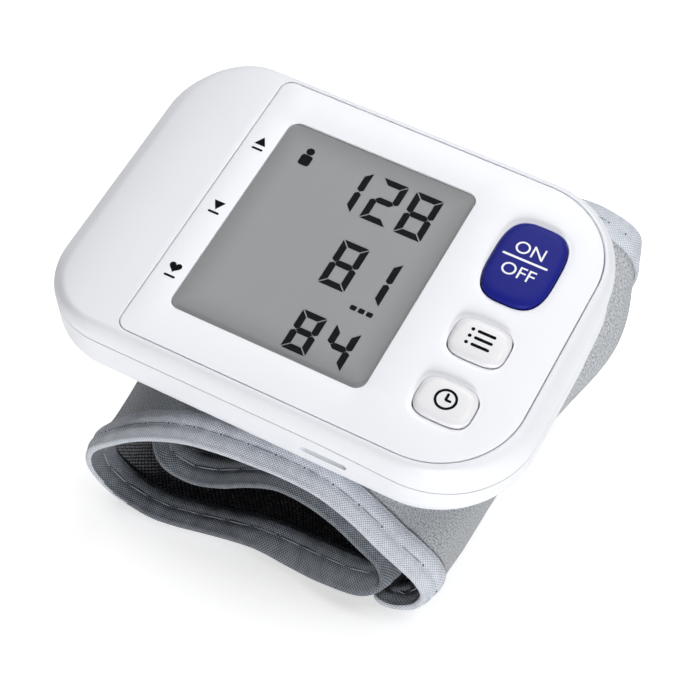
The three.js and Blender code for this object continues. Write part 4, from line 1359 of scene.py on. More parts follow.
@dataclass
class Keys:
    """Three crowned keys that stand proud of the panel, with their printed signs."""

    place: Matrix
    proud: float = 0.9
    crown: float = 1.6
    crown_steps: int = 8
    flange: float = 1.0
    flange_top_z: float = -3.2
    flange_under_z: float = -4.2
    print_height: float = 0.025
    letter_height: float = 2.45
    letter_steps: int = 6
    words: tuple[tuple[str, float, float], ...] = (("ON", -0.2, 2.55), ("OFF", -0.2, -2.25))
    word_bar: tuple[float, ...] = (-0.15, 0.3, 8.2, 0.42, 0.2)

    def cap(self, key: KeySize) -> Piece:
        """Builds one key cap with the flange that keeps it under the deck.

        Args:
            key: The key.

        Returns:
            The cap.
        """
        crown = [(-self.crown * inward, self.proud * upward) for inward, upward in quarter(self.crown_steps)]
        top, under = self.flange_top_z, self.flange_under_z
        flange = [(0, top), (self.flange, top), (self.flange, under)]
        return plate(f"{key.name}_cap", key.finish, self.place, [(key.outline, crown[::-1] + flange)])

    def sign(self, key: KeySize, shapes: list[Array]) -> Piece:
        """Builds a printed sign from flat outlines about the key's middle."""
        spots = [shape + (KEY_X, key.y) for shape in shapes]
        return printed(f"{key.name}_sign", PRINT_DARK, self.place, spots, *self.print_levels())

    def print_levels(self) -> Pair:
        """Lower and upper height of the print on the keys."""
        return self.proud - self.print_height, self.proud + self.print_height

    def word(self, text: str, x: float, y: float) -> bpy.types.Mesh:
        """Makes a word as a thin mesh, in millimetres, about a point on the key's face.

        Args:
            text: The word.
            x: Middle along X.
            y: Middle along Y.

        Returns:
            The mesh.
        """
        curve = adjust(bpy.data.curves.new(text, "FONT"), body=text, extrude=self.print_height,
                       resolution_u=self.letter_steps)
        holder = linked(text, curve)
        made = evaluated(holder)
        bpy.data.objects.remove(holder)
        spots = np.array([v.co for v in made.vertices])
        low, high = spots.min(0), spots.max(0)
        scale = self.letter_height / (high[1] - low[1])
        flat = Matrix.Diagonal((scale, scale, 1, 1)) @ Matrix.Translation(-Vector((low + high) / 2))
        made.transform(Matrix.Translation((x, y, self.proud)) @ flat)
        return made

    def legend(self, key: KeySize) -> Piece:
        """Builds the two words of the blue key and the bar between them.

        Args:
            key: The blue key.

        Returns:
            The print.
        """
        skin = Skin()
        for text, x, y in self.words:
            mesh = self.word(text, KEY_X + x, key.y + y)
            skin.mesh.from_mesh(mesh)
            bpy.data.meshes.remove(mesh)
        x, y, *size = self.word_bar
        skin.prism(rounded_box(KEY_X + x, key.y + y, *size, PRINT_STEPS), *self.print_levels())
        return skin.piece(f"{key.name}_sign", PRINT_WHITE, self.place)

    def record_sign(self) -> list[Array]:
        """Stacked lines with a dot each, for kept readings."""
        line_x, line, thick, corner = 0.55, 3.3, 0.55, 0.26
        dot_x, dot, pitch = -1.9, 0.65, 1.35
        shapes = []
        for y in (pitch, 0.0, -pitch):
            shapes.append(rounded_box(line_x, y, line, thick, corner, PRINT_STEPS))
            shapes.append(squircle(dot_x, y, dot, dot, ELLIPSE, 16))
        return shapes

    def clock_sign(self) -> list[Array]:
        """Clock face as two half rings and two hands."""
        outer, inner, hand, corner = 1.95, 1.5, 0.45, 0.2
        turn = np.linspace(0, math.pi, 25)
        half = np.column_stack([np.cos(turn), np.sin(turn)])
        ring = np.concatenate([half * outer, half[::-1] * inner])
        upright = rounded_box(0, 0.5, hand, 1.4, corner, PRINT_STEPS)
        level = rounded_box(0.45, -0.1, 1.1, hand, corner, PRINT_STEPS)
        return [ring, -ring, upright, level]

    def build(self) -> None:
        """Builds the caps and signs, each on its own body."""
        for key in KEYS:
            hold(self.cap(key), key.body, key.slot, f"{key.name}_button")
        start, memory, choose = KEYS
        hold(self.legend(start), start.body, start.slot)
        hold(self.sign(memory, self.record_sign()), memory.body, memory.slot)
        hold(self.sign(choose, self.clock_sign()), choose.body, choose.slot)


@dataclass
class PanelPrint:
    """Small printed signs left of the display, one for each row of figures."""

    place: Matrix
    x: float = -20.5
    high_y: float = 14.4
    low_y: float = -0.7
    pulse_y: float = -15.1
    arrow_half: float = 1.05
    arrow_foot: float = 0.75
    arrow_rise: float = 0.35
    arrow_bar_drop: float = 1.35
    heart_scale: float = 0.07
    heart_rise: float = 0.45
    heart_bar_drop: float = 1.5
    thickness: float = 0.025

    def bar(self, y: float) -> Array:
        """Short bar under a sign."""
        return rounded_box(self.x, y, 2.1, 0.42, 0.2, PRINT_STEPS)

    def arrow(self, y: float, up: bool) -> list[Array]:
        """Triangle that points up or down, with a short bar under it."""
        sign, half, foot = 1 if up else -1, self.arrow_half, self.arrow_foot
        corners = [(-half, -foot * sign), (half, -foot * sign), (0, half * sign)]
        shape = np.array(corners if up else corners[::-1]) + (self.x, y + self.arrow_rise)
        return [shape, self.bar(y - self.arrow_bar_drop)]

    def heart(self, y: float) -> list[Array]:
        """Heart for the pulse, with a short bar under it."""
        t = np.linspace(0, 2 * math.pi, 48, endpoint=False)
        across = 16 * np.sin(t) ** 3
        upward = 13 * np.cos(t) - 5 * np.cos(2 * t) - 2 * np.cos(3 * t) - np.cos(4 * t)
        shape = np.column_stack([across, upward])[::-1] * self.heart_scale + (self.x, y + self.heart_rise)
        return [shape, self.bar(y - self.heart_bar_drop)]

    def build(self) -> None:
        """Builds the signs as thin print on the panel."""
        shapes = self.arrow(self.high_y, True) + self.arrow(self.low_y, False) + self.heart(self.pulse_y)
        ink = printed("panel_signs", PRINT_DARK, self.place, shapes, -self.thickness, self.thickness)
        hold(ink, Body.BASE, Slot.PANEL)


# Cuff

# Section of the wound strip, from its inner end to its outer end: X and Z at the front edge, X and Z at the
# back edge, and the share of the unit's rise from front to back that lifts the point at the back edge
SECTION = (
    (-22.6, 16.8, -22, 17.6, 1), (-18.6, 14.9, -17.5, 16.2, 1), (-12.2, 13.6, -11.5, 15.7, 1),
    (-6.5, 15.3, -5, 16.6, 1), (-0.5, 18.5, 1, 18.2, 1), (5, 20.4, 7, 19.2, 1), (10.5, 19.6, 13, 18.7, 1),
    (15.5, 17.2, 19, 17, 1), (20, 13.6, 25.5, 14, 1), (24.2, 10.1, 30.5, 13.2, 0.6),
    (25, 7.3, 31.4, 10.4, 0.2), (22.4, 5.4, 27, 6.4, 0), (14, 3.4, 19, 3.2, 0), (7, 2.1, 9, 1.9, 0),
    (0, 2.6, 0, 2, 0), (-6, 2.2, -6, 1.9, 0), (-11.5, 1.8, -11.5, 1.8, 0), (-16, 1.8, -16, 1.8, 0),
    (-20.5, 1.8, -20.5, 1.8, 0), (-25, 2, -25, 2, 0), (-30.2, 3.6, -29.6, 4.4, 0), (-33.2, 8, -32.6, 10.4, 0),
    (-32.6, 12.1, -33.4, 14, 0.45), (-27.8, 16.1, -32, 16, 0.85), (-21.4, 20, -27, 20.2, 1),
    (-13, 23.3, -18, 23.2, 1), (-5.5, 24.3, -9, 24.3, 1), (1, 24.4, 0, 24.1, 1), (7, 24.1, 8, 23.3, 1),
    (13, 22.8, 16, 22.6, 1), (19, 19.4, 24, 21, 1), (24.4, 14.8, 33.5, 20.2, 1), (28.2, 12, 39.6, 17, 1),
    (30.8, 9.8, 40, 14.2, 0.95), (32.2, 7, 36.5, 11, 0.5), (30.8, 4.2, 32, 7, 0), (27.2, 2.5, 29, 3.2, 0),
    (22.4, 2.1, 24.6, 2.2, 0),
)

# Where the front edge reaches forward: the middle row of the reach, how many rows it runs, and its length
HEM_REACH = ((11.2, 1.5, 2.9), (17.8, 1.9, 1.5), (21.6, 1.2, 0.8), (36.2, 1.4, 1.0))


def through(points: Array, rows: Array) -> tuple[Array, Array]:
    """Centripetal curve through points, one whole row from each point to the next.

    Args:
        points: X, Y and Z in each row.
        rows: Places on the curve, in rows.

    Returns:
        The points at those places, and their unit tangents.
    """
    ends = np.concatenate([[2 * points[0] - points[1]], points, [2 * points[-1] - points[-2]]])
    k = np.clip(np.floor(rows).astype(int), 0, len(points) - 2)
    t = (rows - k)[:, None]
    p0, p1, p2, p3 = (ends[k + n] for n in range(4))
    gaps = (p1 - p0, p2 - p1, p3 - p2)
    d0, d1, d2 = (np.sqrt(np.linalg.norm(gap, axis=1, keepdims=True)) for gap in gaps)
    m1 = ((p1 - p0) / d0 - (p2 - p0) / (d0 + d1) + (p2 - p1) / d1) * d1
    m2 = ((p2 - p1) / d1 - (p3 - p1) / (d1 + d2) + (p3 - p2) / d2) * d1
    c2 = 3 * (p2 - p1) - 2 * m1 - m2
    c3 = 2 * (p1 - p2) + m1 + m2
    spot = p1 + m1 * t + c2 * t ** 2 + c3 * t ** 3
    slope = m1 + 2 * c2 * t + 3 * c3 * t ** 2
    return spot, slope / np.linalg.norm(slope, axis=1, keepdims=True)


@dataclass
class Strip:
    """Middle surface of the cuff's wound strip."""

    stance: Stance
    front_y: float = -29.3
    width: float = 73.8
    bulge: float = 4.6
    bulge_row: float = 33.4
    bulge_run: float = 1.15
    bulge_skew: float = 2.4
    arch: float = 3.0
    arch_row: float = 12.3
    arch_run: float = 2.0
    arch_reach: float = 7.0
    waist: float = 1.5
    waist_row: float = 22.0
    waist_run: float = 1.9
    waist_reach: float = 11.0
    fine_rows: int = 1600
    place: Matrix = field(init=False)
    front: Array = field(init=False)
    back: Array = field(init=False)
    rows: Array = field(init=False)
    travel: Array = field(init=False)

    def __post_init__(self) -> None:
        """Works out the two edges from the section, and the distance along the middle at close rows."""
        self.place = self.stance.cuff_matrix()
        rise = self.width * math.tan(math.radians(self.stance.pitch_deg))
        back_y = self.front_y + self.width
        self.front = np.array([(x, self.front_y, z) for x, z, *_ in SECTION], float)
        self.back = np.array([(x, back_y, z + up * rise) for _, _, x, z, up in SECTION], float)
        rows = np.arange(len(SECTION))
        for row, run_rows, reach in HEM_REACH:
            self.front[:, 1] -= reach * hump(rows, row, run_rows)
        self.rows = np.linspace(0, rows[-1], self.fine_rows)
        self.travel = travelled(self.surface(self.rows, self.width / 2, 0.0))

    def surface(self, rows: Array | float, across: Array | float,
                height: Array | float) -> Array:
        """Points of the strip.

        Args:
            rows: Places along the section.
            across: Distances from the front edge.
            height: Heights off the middle surface.

        Returns:
            X, Y and Z for each of them, in the drawing's millimetres.
        """
        rows, across, height = np.broadcast_arrays(rows, across, height)
        edges = (through(edge, rows.ravel()) for edge in (self.front, self.back))
        (front, front_way), (back, back_way) = edges
        share = (across / self.width).reshape(-1, 1)
        way = front_way * (1 - share) + back_way * share
        out = np.cross(way, back - front)
        out /= np.linalg.norm(out, axis=1, keepdims=True)
        places = rows.reshape(-1, 1)
        rise = hump(places, self.bulge_row, self.bulge_run)
        swell = self.bulge * rise * np.sin(math.pi * share ** self.bulge_skew) ** 2
        drawn = hump(places, self.waist_row, self.waist_run) * self.behind_hem(share, self.waist_reach) ** 2
        swell -= self.waist * drawn
        spot = front * (1 - share) + back * share + out * (height.reshape(-1, 1) + swell)
        raised = hump(places, self.arch_row, self.arch_run) * self.behind_hem(share, self.arch_reach)
        spot[:, 2:] += self.arch * raised
        return spot.reshape(*rows.shape, 3)

    def behind_hem(self, share: Array, reach: float) -> Array:
        """Share of a form behind the front hem: 0 on the hem, 1 at its reach, and fading further back."""
        deep = np.clip(share, 0, None) * self.width / reach
        return deep * np.exp(1 - deep)

    def lengths(self, *rows: float) -> Array:
        """Distance along the middle of the strip from its inner end to each row."""
        return np.interp(rows, self.rows, self.travel)

    def row_at(self, length: Array) -> Array:
        """Row at each distance along the middle of the strip."""
        return np.interp(length, self.travel, self.rows)


@dataclass
class Cuff:
    """Wound fabric cuff: fleece outside, woven lining inside, bound and sewn along its edges."""

    strip: Strip
    inner_height: float = 0.5
    cloth_height: float = 1.2
    puff: float = 0.3
    puff_run: float = 7.0
    ripple: float = 0.1
    ripple_waves: int = 7
    ripple_lengths: Pair = (9.0, 26.0)
    tape_height: float = 1.8
    tape: float = 0.4
    tape_width: float = 5.4
    tape_edge: float = 0.5
    tape_edge_drop: float = 0.16
    tape_wave: float = 0.06
    tape_wave_turns: Triple = (0.9, 1.3, 0.23)
    edge_half: float = 0.72
    pinch_run: float = 3.4
    nose_steps: int = 5
    flat_steps: int = 16
    valley: float = 0.24
    valley_width: float = 0.6
    pucker: float = 0.12
    pucker_width: float = 1.44
    stitch_across: float = 2.8
    stitch_pitch: float = 5.2
    stitch_length: float = 4.5
    thread: float = 0.34
    hole: float = 0.36
    cloth_margin: float = 3.6
    cloth_step: float = 1.1
    along_step: float = 0.8
    hem_step: float = 0.65
    end_corner: float = 7.4
    corner_steps: int = 8
    corner_trim: float = 0.5
    end_steps: int = 20
    flap_power: float = 7.0
    fold_row: float = 21.6
    # Row of the inner end before which its tape takes the painted shade all round the edge
    tucked_row: float = 12.5
    # Rows over which the painted shade on the tape's nose draws back, from the inner part towards the fold
    shade_rows: Pair = (18.0, 20.8)
    split_row: float = 31.35
    hinge_row: float = 32.0
    fold_reach: float = 1.5
    flap_way: Triple = (0.55, 0.0, -0.83)
    bladder_rows: Pair = (20.0, 31.0)
    bladder_margin: float = 9.0
    bladder_half: float = 0.3
    bladder_fill: float = 0.1
    hook_rows: Pair = (34.4, 35.75)
    hook_margin: float = 10.0
    hook_low: float = -2.1
    hook_high: float = -1.4
    slab_step: float = 1.2
    slab_columns: int = 46
    slab_round: float = 1.5
    slab_edge: float = 0.25

    def solid(self, name: str, finish: Finish, faces: tuple[Array, Array],
              places: tuple[Array, Array]) -> Piece:
        """Builds a closed thin solid between two grids of points.

        Args:
            name: Name of the piece.
            finish: Its finish.
            faces: Points of its two faces, each by line and column, in the drawing's millimetres.
            places: Place on the cloth of each of those points, in millimetres.

        Returns:
            The piece in the row frame.
        """
        lines, columns = faces[0].shape[:2]
        points = np.concatenate([face.reshape(-1, 3) for face in faces])
        near = np.arange(lines * columns).reshape(lines, columns)
        far = near + lines * columns

        def quads(grid: Array) -> Array:
            """Corner numbers of a grid's faces."""
            return np.stack([grid[:-1, :-1], grid[:-1, 1:], grid[1:, 1:], grid[1:, :-1]], -1).reshape(-1, 4)

        rims = [np.stack([near[edge], far[edge]]) for edge in (0, -1)]
        rims += [np.stack([near[:, edge], far[:, edge]]) for edge in (0, -1)]
        corners = np.concatenate([quads(near), quads(far)[:, ::-1]] + [quads(rim) for rim in rims])
        mesh = bpy.data.meshes.new(name)
        mesh.from_pydata(points.tolist(), [], corners.tolist())
        give_vectors(mesh, STRIP_PLACE, np.concatenate([place.reshape(-1, 3) for place in places]) * MM)
        form = bmesh.new()
        form.from_mesh(mesh)
        bmesh.ops.recalc_face_normals(form, faces=form.faces)
        form.to_mesh(mesh)
        form.free()
        mesh.transform(self.strip.place)
        return as_object(name, mesh, finish)

    def ripples(self, along: Array, across: Array) -> Array:
        """Shallow waves of the cloth from a few fixed random directions.

        Args:
            along: Distances along the strip.
            across: Distances from its front edge.

        Returns:
            Height of the waves at each place, from -1 to 1.
        """
        draw = np.random.default_rng(SEED)
        total = np.zeros(np.broadcast_shapes(along.shape, across.shape))
        for _ in range(self.ripple_waves):
            length = draw.uniform(*self.ripple_lengths)
            turn = draw.uniform(0, 2 * math.pi)
            phase = draw.uniform(0, 2 * math.pi)
            total += np.sin((along * math.cos(turn) + across * math.sin(turn)) * 2 * math.pi / length + phase)
        return total / self.ripple_waves

    def stretch(self, flap: bool) -> Pair:
        """Length along the strip to the split, and to the end of the flap or of the wound band."""
        split, last = self.strip.lengths(self.split_row, self.strip.rows[-1])
        return float(split), float(last if flap else 0)

    def panel(self, name: str, finish: Finish, side: int, flap: bool) -> Piece:
        """Builds one cloth of the strip, with the end's corners rounded.

        Args:
            name: Name of the piece.
            finish: Its finish.
            side: 1 for the outer cloth and -1 for the lining.
            flap: Whether it belongs to the flap or to the wound band.

        Returns:
            The piece.
        """
        width, margin, corner = self.strip.width, self.cloth_margin, self.end_corner
        split, end = self.stretch(flap)
        reach = abs(end - split)
        near = margin + corner * np.linspace(0, 1, self.corner_steps)
        far = np.linspace(near[-1], reach, round(reach / self.along_step))
        to_end = np.concatenate([near, far[1:]])[:, None]
        along = end - to_end if flap else to_end
        short = np.clip(corner - to_end, 0, None)
        trim = margin + self.corner_trim * (corner - np.sqrt(np.clip(corner ** 2 - short ** 2, 0, None)))
        across = trim + (width - 2 * trim) * np.linspace(0, 1, round(width / self.cloth_step))[None]
        inward = np.minimum(np.minimum(across, width - across), to_end) - self.tape_width
        swell = ease(np.clip(inward / self.puff_run, 0, 1))
        rise = (self.puff + self.ripple * self.ripples(along, across)) * swell
        heights = (side * (self.cloth_height + rise), np.full_like(across, side * self.inner_height))
        faces = tuple(self.strip.surface(self.strip.row_at(along), across, height) for height in heights)
        place = np.stack([np.broadcast_to(along, across.shape), across, np.zeros_like(across)], -1)
        return self.solid(name, finish, faces, (place, place))

    def hem(self, part: Part) -> Array:
        """Bound edge of one part of the strip.

        Args:
            part: A straight stretch of the band's outer turn, or the edge round one of the strip's ends.

        Returns:
            Distance along the strip and across it, and the way into the cloth along and across, in each row.
        """
        width, corner = self.strip.width, self.end_corner
        fold, split, last = self.strip.lengths(self.fold_row, self.split_row, self.strip.rows[-1])

        def side(start: Pair, end: Pair, way: Pair) -> Array:
            """Straight stretch with one way into the cloth."""
            line = run(start, end, round(math.dist(start, end) / self.hem_step))
            return np.column_stack([line, np.broadcast_to(way, line.shape)])

        if part in (Part.FRONT, Part.BACK):
            across, way = (0, (0, 1)) if part is Part.FRONT else (width, (0, -1))
            return np.concatenate([side((fold, across), (split, across), way), [(split, across, *way)]])
        reach = last - split if part is Part.FLAP else fold
        turn = QUARTER * np.arange(self.end_steps) / self.end_steps
        sin, cos = np.sin(turn), np.cos(turn)
        power = self.flap_power if part is Part.FLAP else ELLIPSE
        bow = corner * (sin ** power + cos ** power) ** (-1 / power)
        path = np.concatenate([
            side((reach, 0), (corner, 0), (0, 1)),
            np.column_stack([corner - bow * sin, corner - bow * cos, sin, cos]),
            side((0, corner), (0, width - corner), (1, 0)),
            np.column_stack([corner - bow * cos, width - corner + bow * sin, cos, -sin]),
            side((corner, width), (reach, width), (0, -1)),
            [(reach, width, 0, -1)],
        ])
        return path * (-1, 1, -1, 1) + (last, 0, 0, 0) if part is Part.FLAP else path

    def on_hem(self, hem: Array, inward: Array | float, height: Array | float) -> Array:
        """Points at distances into the cloth from a hem.

        Args:
            hem: Rows of the hem.
            inward: Distance into the cloth, for each row and column.
            height: Height off the middle surface, for each row and column.

        Returns:
            X, Y and Z for each row and column.
        """
        along, across, way_along, way_across = (hem[:, k:k + 1] for k in range(4))
        rows = self.strip.row_at(along + way_along * inward)
        return self.strip.surface(rows, across + way_across * inward, height)

    def tape_rise(self, inward: Array) -> Array:
        """Height of the tape's outer face, which is pinched towards the edge, at distances into the cloth."""
        share = np.clip((inward - self.edge_half) / self.pinch_run, 0, 1)
        edge_drop = np.where(inward > self.tape_width - self.tape_edge, self.tape_edge_drop, 0)
        return self.edge_half + (self.tape_height - self.edge_half) * share * (2 - share) - edge_drop

    def tape_line(self, outer: bool) -> Array:
        """Section of the binding tape, folded over the edge.

        Args:
            outer: Whether the tape's outer or inner face is meant.

        Returns:
            Distance from the edge, height, and place across the unfolded tape, in each row.
        """
        inset = 0 if outer else self.tape
        turn = np.linspace(-QUARTER, QUARTER, 2 * self.nose_steps + 1)
        round_half = self.edge_half - inset
        nose = np.column_stack([self.edge_half - round_half * np.cos(turn), round_half * np.sin(turn)])
        flat = np.linspace(self.tape_width, self.edge_half, self.flat_steps + 1)[:-1]
        rise = self.tape_rise(flat) - inset
        line = np.concatenate([np.column_stack([flat, -rise]), nose, np.column_stack([flat, rise])[::-1]])
        round_it = travelled(line)
        return np.column_stack([line, round_it - round_it[-1] / 2])

    def binding(self, name: str, part: Part) -> Piece:
        """Builds the tape over a bound edge, with the valley and puckers that the stitches draw in, and
        painted shade on its faces inside the loop.

        Args:
            name: Name of the piece.
            part: Part of the edge.

        Returns:
            The piece.
        """
        hem = self.hem(part)
        along = travelled(self.on_hem(hem, self.stitch_across, 0.0)[:, 0])[:, None]
        fast, swing, slow = self.tape_wave_turns
        wander = self.tape_wave * np.sin(along * fast + swing * np.sin(along * slow))
        beat = 0.5 + 0.5 * np.cos(2 * math.pi * along / self.stitch_pitch)
        faces, places = [], []
        for outer in (True, False):
            inward, level, round_it = (column[None] for column in self.tape_line(outer).T)
            valley = self.valley * hump(inward, self.stitch_across, self.valley_width)
            pucker = self.pucker * hump(inward, self.stitch_across, self.pucker_width) * beat
            dip = valley + pucker if outer else 0
            wave = wander * np.clip(inward / self.tape_width, 0, 1)
            height = np.sign(level) * (np.abs(level) - dip + wave)
            faces.append(self.on_hem(hem, inward, height))
            places.append(np.stack(np.broadcast_arrays(along, round_it, 0.0), -1))
        piece = self.solid(name, TAPE, tuple(faces), tuple(places))
        # The darker copy of the tape is painted shade: it goes on the lining side's flat faces and part of the
        # nose, further round the nose on the inner part, and all round the inner end's tape before the tucked
        # row
        piece.data.materials.append(TAPE_PAINTED_SHADE.material())
        lines, columns = faces[0].shape[0] - 1, faces[0].shape[1] - 1
        tucked, *turn = self.strip.lengths(self.tucked_row, *self.shade_rows)
        nose = np.interp(hem[:-1, :1], turn, (self.nose_steps + 2, self.nose_steps // 2))
        shaded = np.arange(columns)[None] < self.flat_steps + np.floor(nose)
        if part is Part.INNER:
            shaded = shaded | (hem[:-1, :1] < tucked)
        choice = np.zeros(len(piece.data.polygons), np.int32)
        choice[:lines * columns] = np.broadcast_to(shaded, (lines, columns)).ravel()
        piece.data.polygons.foreach_set("material_index", choice)
        return piece

    def slab(self, name: str, finish: Finish, rows: Pair, margin: float, low: float,
             high: float) -> Piece:
        """Builds a plain layer of the strip, such as the bladder.

        Args:
            name: Name of the piece.
            finish: Its finish.
            rows: First and last row.
            margin: Distance from both edges.
            low: Lower height.
            high: Upper height.

        Returns:
            The piece.
        """
        width = self.strip.width
        start, end = self.strip.lengths(*rows)
        along = np.linspace(start, end, round((end - start) / self.slab_step) + 1)[:, None]
        across = np.linspace(margin, width - margin, self.slab_columns)[None]
        inward = np.minimum(across - margin, width - margin - across)
        soft = np.sqrt(np.clip(inward / self.slab_round, self.slab_edge, 1))
        middle, half = (high + low) / 2, (high - low) / 2
        lines = self.strip.row_at(along)
        faces = tuple(self.strip.surface(lines, across, middle + sign * half * soft) for sign in (1, -1))
        place = np.stack(np.broadcast_arrays(along, across, 0.0), -1)
        return self.solid(name, finish, faces, (place, place))

    def stitches(self, name: str, *parts: Part) -> Piece:
        """Sews bound edges on both faces.

        Args:
            name: Name of the piece.
            *parts: Parts of the edge.

        Returns:
            The stitches as one plain mesh.
        """
        inward, half = self.stitch_across, 0.5 * self.stitch_pitch
        level = float(self.tape_rise(np.array(inward))) - self.valley - 0.5 * self.pucker
        seams = []
        for part, side in [(part, side) for part in parts for side in (1, -1)]:
            hem = self.hem(part)
            far = travelled(self.on_hem(hem, inward, 0.0)[:, 0])
            middles = np.arange(half, far[-1] - half, self.stitch_pitch)
            lines = [np.column_stack([np.interp(middles + step, far, hem[:, k]) for k in range(4)])
                     for step in (-half, 0, half)]
            first, spot, last = (self.on_hem(line, inward, side * level)[:, 0] for line in lines)
            above = self.on_hem(lines[1], inward, side * (level + 1))[:, 0]
            middle = spot / 2 + (first + last) / 4
            seams.append((middle, last - first, above - spot, last - middle))
        return sewn(name, *(np.concatenate(column) for column in zip(*seams)), self)

    def hinge(self) -> tuple[Vector, Vector]:
        """Line of the flap's hinge.

        Returns:
            Its middle in the row frame in metres, and the way that the strip goes on from there.
        """
        across = np.array([0, 0.5, 1]) * self.strip.width
        front, middle, back = (Vector(spot) for spot in self.strip.surface(self.hinge_row, across, 0.0))
        axis = (back - front).normalized()
        down = Vector(self.flap_way)
        way = (down - axis * down.dot(axis)).normalized()
        return self.strip.place @ middle, way

    def tape_flat(self, part: Part) -> Pair:
        """Width and length of a tape before it is folded over the edge, in metres."""
        far = travelled(self.on_hem(self.hem(part), 0.0, 0.0)[:, 0])
        return 2 * (self.tape_width + 0.5 * self.edge_half) * MM, float(far[-1]) * MM

    def cloth_flat(self, flap: bool) -> Pair:
        """Width and length of a cloth's cut, in metres."""
        split, end = self.stretch(flap)
        return (self.strip.width - 2 * self.cloth_margin) * MM, (abs(end - split) - self.cloth_margin) * MM

    def build_band(self) -> None:
        """Builds the wound band that stays with the casing."""
        flat = self.cloth_flat(False)
        fleece = hold(self.panel("cuff_fleece", FLEECE, 1, False), Body.BASE, Slot.FLEECE, "cuff_cloth")
        knit = hold(self.panel("cuff_knit", KNIT, -1, False), Body.BASE, Slot.KNIT, "cuff_lining")
        tapes = (("cuff_binding_front", Part.FRONT, ["cuff_tape_front"]),
                 ("cuff_binding_back", Part.BACK, ["cuff_tape_back"]),
                 ("cuff_binding_inner", Part.INNER, []))
        for name, part, nodes in tapes:
            tape = hold(self.binding(name, part), Body.BASE, Slot.TAPE, *nodes)
            self.tape_flat(part)
        hold(self.stitches("cuff_stitches", Part.FRONT, Part.BACK), Body.BASE, Slot.TAPE)
        hold(self.stitches("cuff_inner_stitches", Part.INNER), Body.BASE, Slot.TAPE)
        bladder = self.slab("air_bladder", RUBBER, self.bladder_rows, self.bladder_margin,
                            -self.bladder_half, self.bladder_half)
        hold(bladder, Body.BASE, Slot.RUBBER, "cuff_bladder")

    def build_flap(self) -> None:
        """Builds the free end where it lies, with its hook pad on the flap's body."""
        flat = self.cloth_flat(True)
        pieces = [
            (self.panel("flap_fleece", FLEECE, 1, True), Slot.FLEECE, flat, ("flap_cloth",)),
            (self.panel("flap_knit", KNIT, -1, True), Slot.KNIT, flat, ("flap_lining",)),
            (self.binding("flap_binding", Part.FLAP), Slot.TAPE, self.tape_flat(Part.FLAP),
             ("flap_tape_front", "flap_tape_back")),
            (self.stitches("flap_stitches", Part.FLAP), Slot.TAPE, None, ()),
        ]
        middle, way = self.hinge()
        for piece, slot, size, nodes in pieces:
            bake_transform(piece)
            label(piece, "base and flap", nodes)
        hooks = self.slab("hook_pad", HOOKS, self.hook_rows, self.hook_margin, self.hook_low, self.hook_high)
        hold(hooks, Body.FLAP, Slot.KNIT, "hook_patch")

    def build(self) -> None:
        """Builds the band and the flap."""
        self.build_band()
        self.build_flap()


# Height of a thread and depth of a stitch hole's dark bead of painted shade, as shares of their widths, and
# the ball that both are made of
THREAD_HEIGHT = 0.8
HOLE_DEPTH = 0.5
BALL = {"Segments": 8, "Rings": 6, "Radius": 0.5}


@cache
def stitch_tree() -> Tree:
    """Builds the tree that sews: a thread over each point, and a dark bead at its end, painted shade for the
    needle's hole.

    Returns:
        The geometry node tree.
    """
    sizes = dict.fromkeys(("Stitch length", "Thread width", "Hole width"), "Float")
    finishes = dict.fromkeys(("Thread finish", "Hole finish"), "Material")
    mesh = {"Geometry": "Geometry"}
    tree, source, out = new_tree("GeometryNodeTree", "sewn_line", mesh | sizes | finishes, mesh)
    along, outward, to_hole = (
        add_node(tree, "GeometryNodeInputNamedAttribute", {"Name": name}, data_type="FLOAT_VECTOR").outputs[0]
        for name in ("along", "out", "hole"))
    turn = add_node(tree, "FunctionNodeAxesToRotation", {0: along, 1: outward}, primary_axis="X",
                    secondary_axis="Z").outputs[0]
    points = add_node(tree, "GeometryNodeMeshToPoints", {"Mesh": source["Geometry"]}).outputs[0]
    ends = add_node(tree, "GeometryNodeSetPosition", {"Geometry": points, "Offset": to_hole}).outputs[0]
    length, thread, hole = (source[name] for name in sizes)
    flat = math_node(tree, "MULTIPLY", thread, THREAD_HEIGHT)
    shallow = math_node(tree, "MULTIPLY", hole, HOLE_DEPTH)
    join = tree.nodes.new("GeometryNodeJoinGeometry")
    for spots, form, finish in ((points, (length, thread, flat), source["Thread finish"]),
                                (ends, (hole, hole, shallow), source["Hole finish"])):
        ball = add_node(tree, "GeometryNodeMeshUVSphere", BALL).outputs[0]
        size = add_node(tree, "ShaderNodeCombineXYZ", dict(enumerate(form))).outputs[0]
        bead = add_node(tree, "GeometryNodeTransform", {"Geometry": ball, "Scale": size}).outputs[0]
        inputs = {"Points": spots, "Instance": bead, "Rotation": turn}
        copies = add_node(tree, "GeometryNodeInstanceOnPoints", inputs).outputs[0]
        whole = add_node(tree, "GeometryNodeRealizeInstances", {0: copies}).outputs[0]
        inputs = {"Geometry": whole, "Material": finish}
        feed(tree, join, {0: add_node(tree, "GeometryNodeSetMaterial", inputs).outputs[0]})
    feed(tree, out, {0: join.outputs[0]})
    return tree


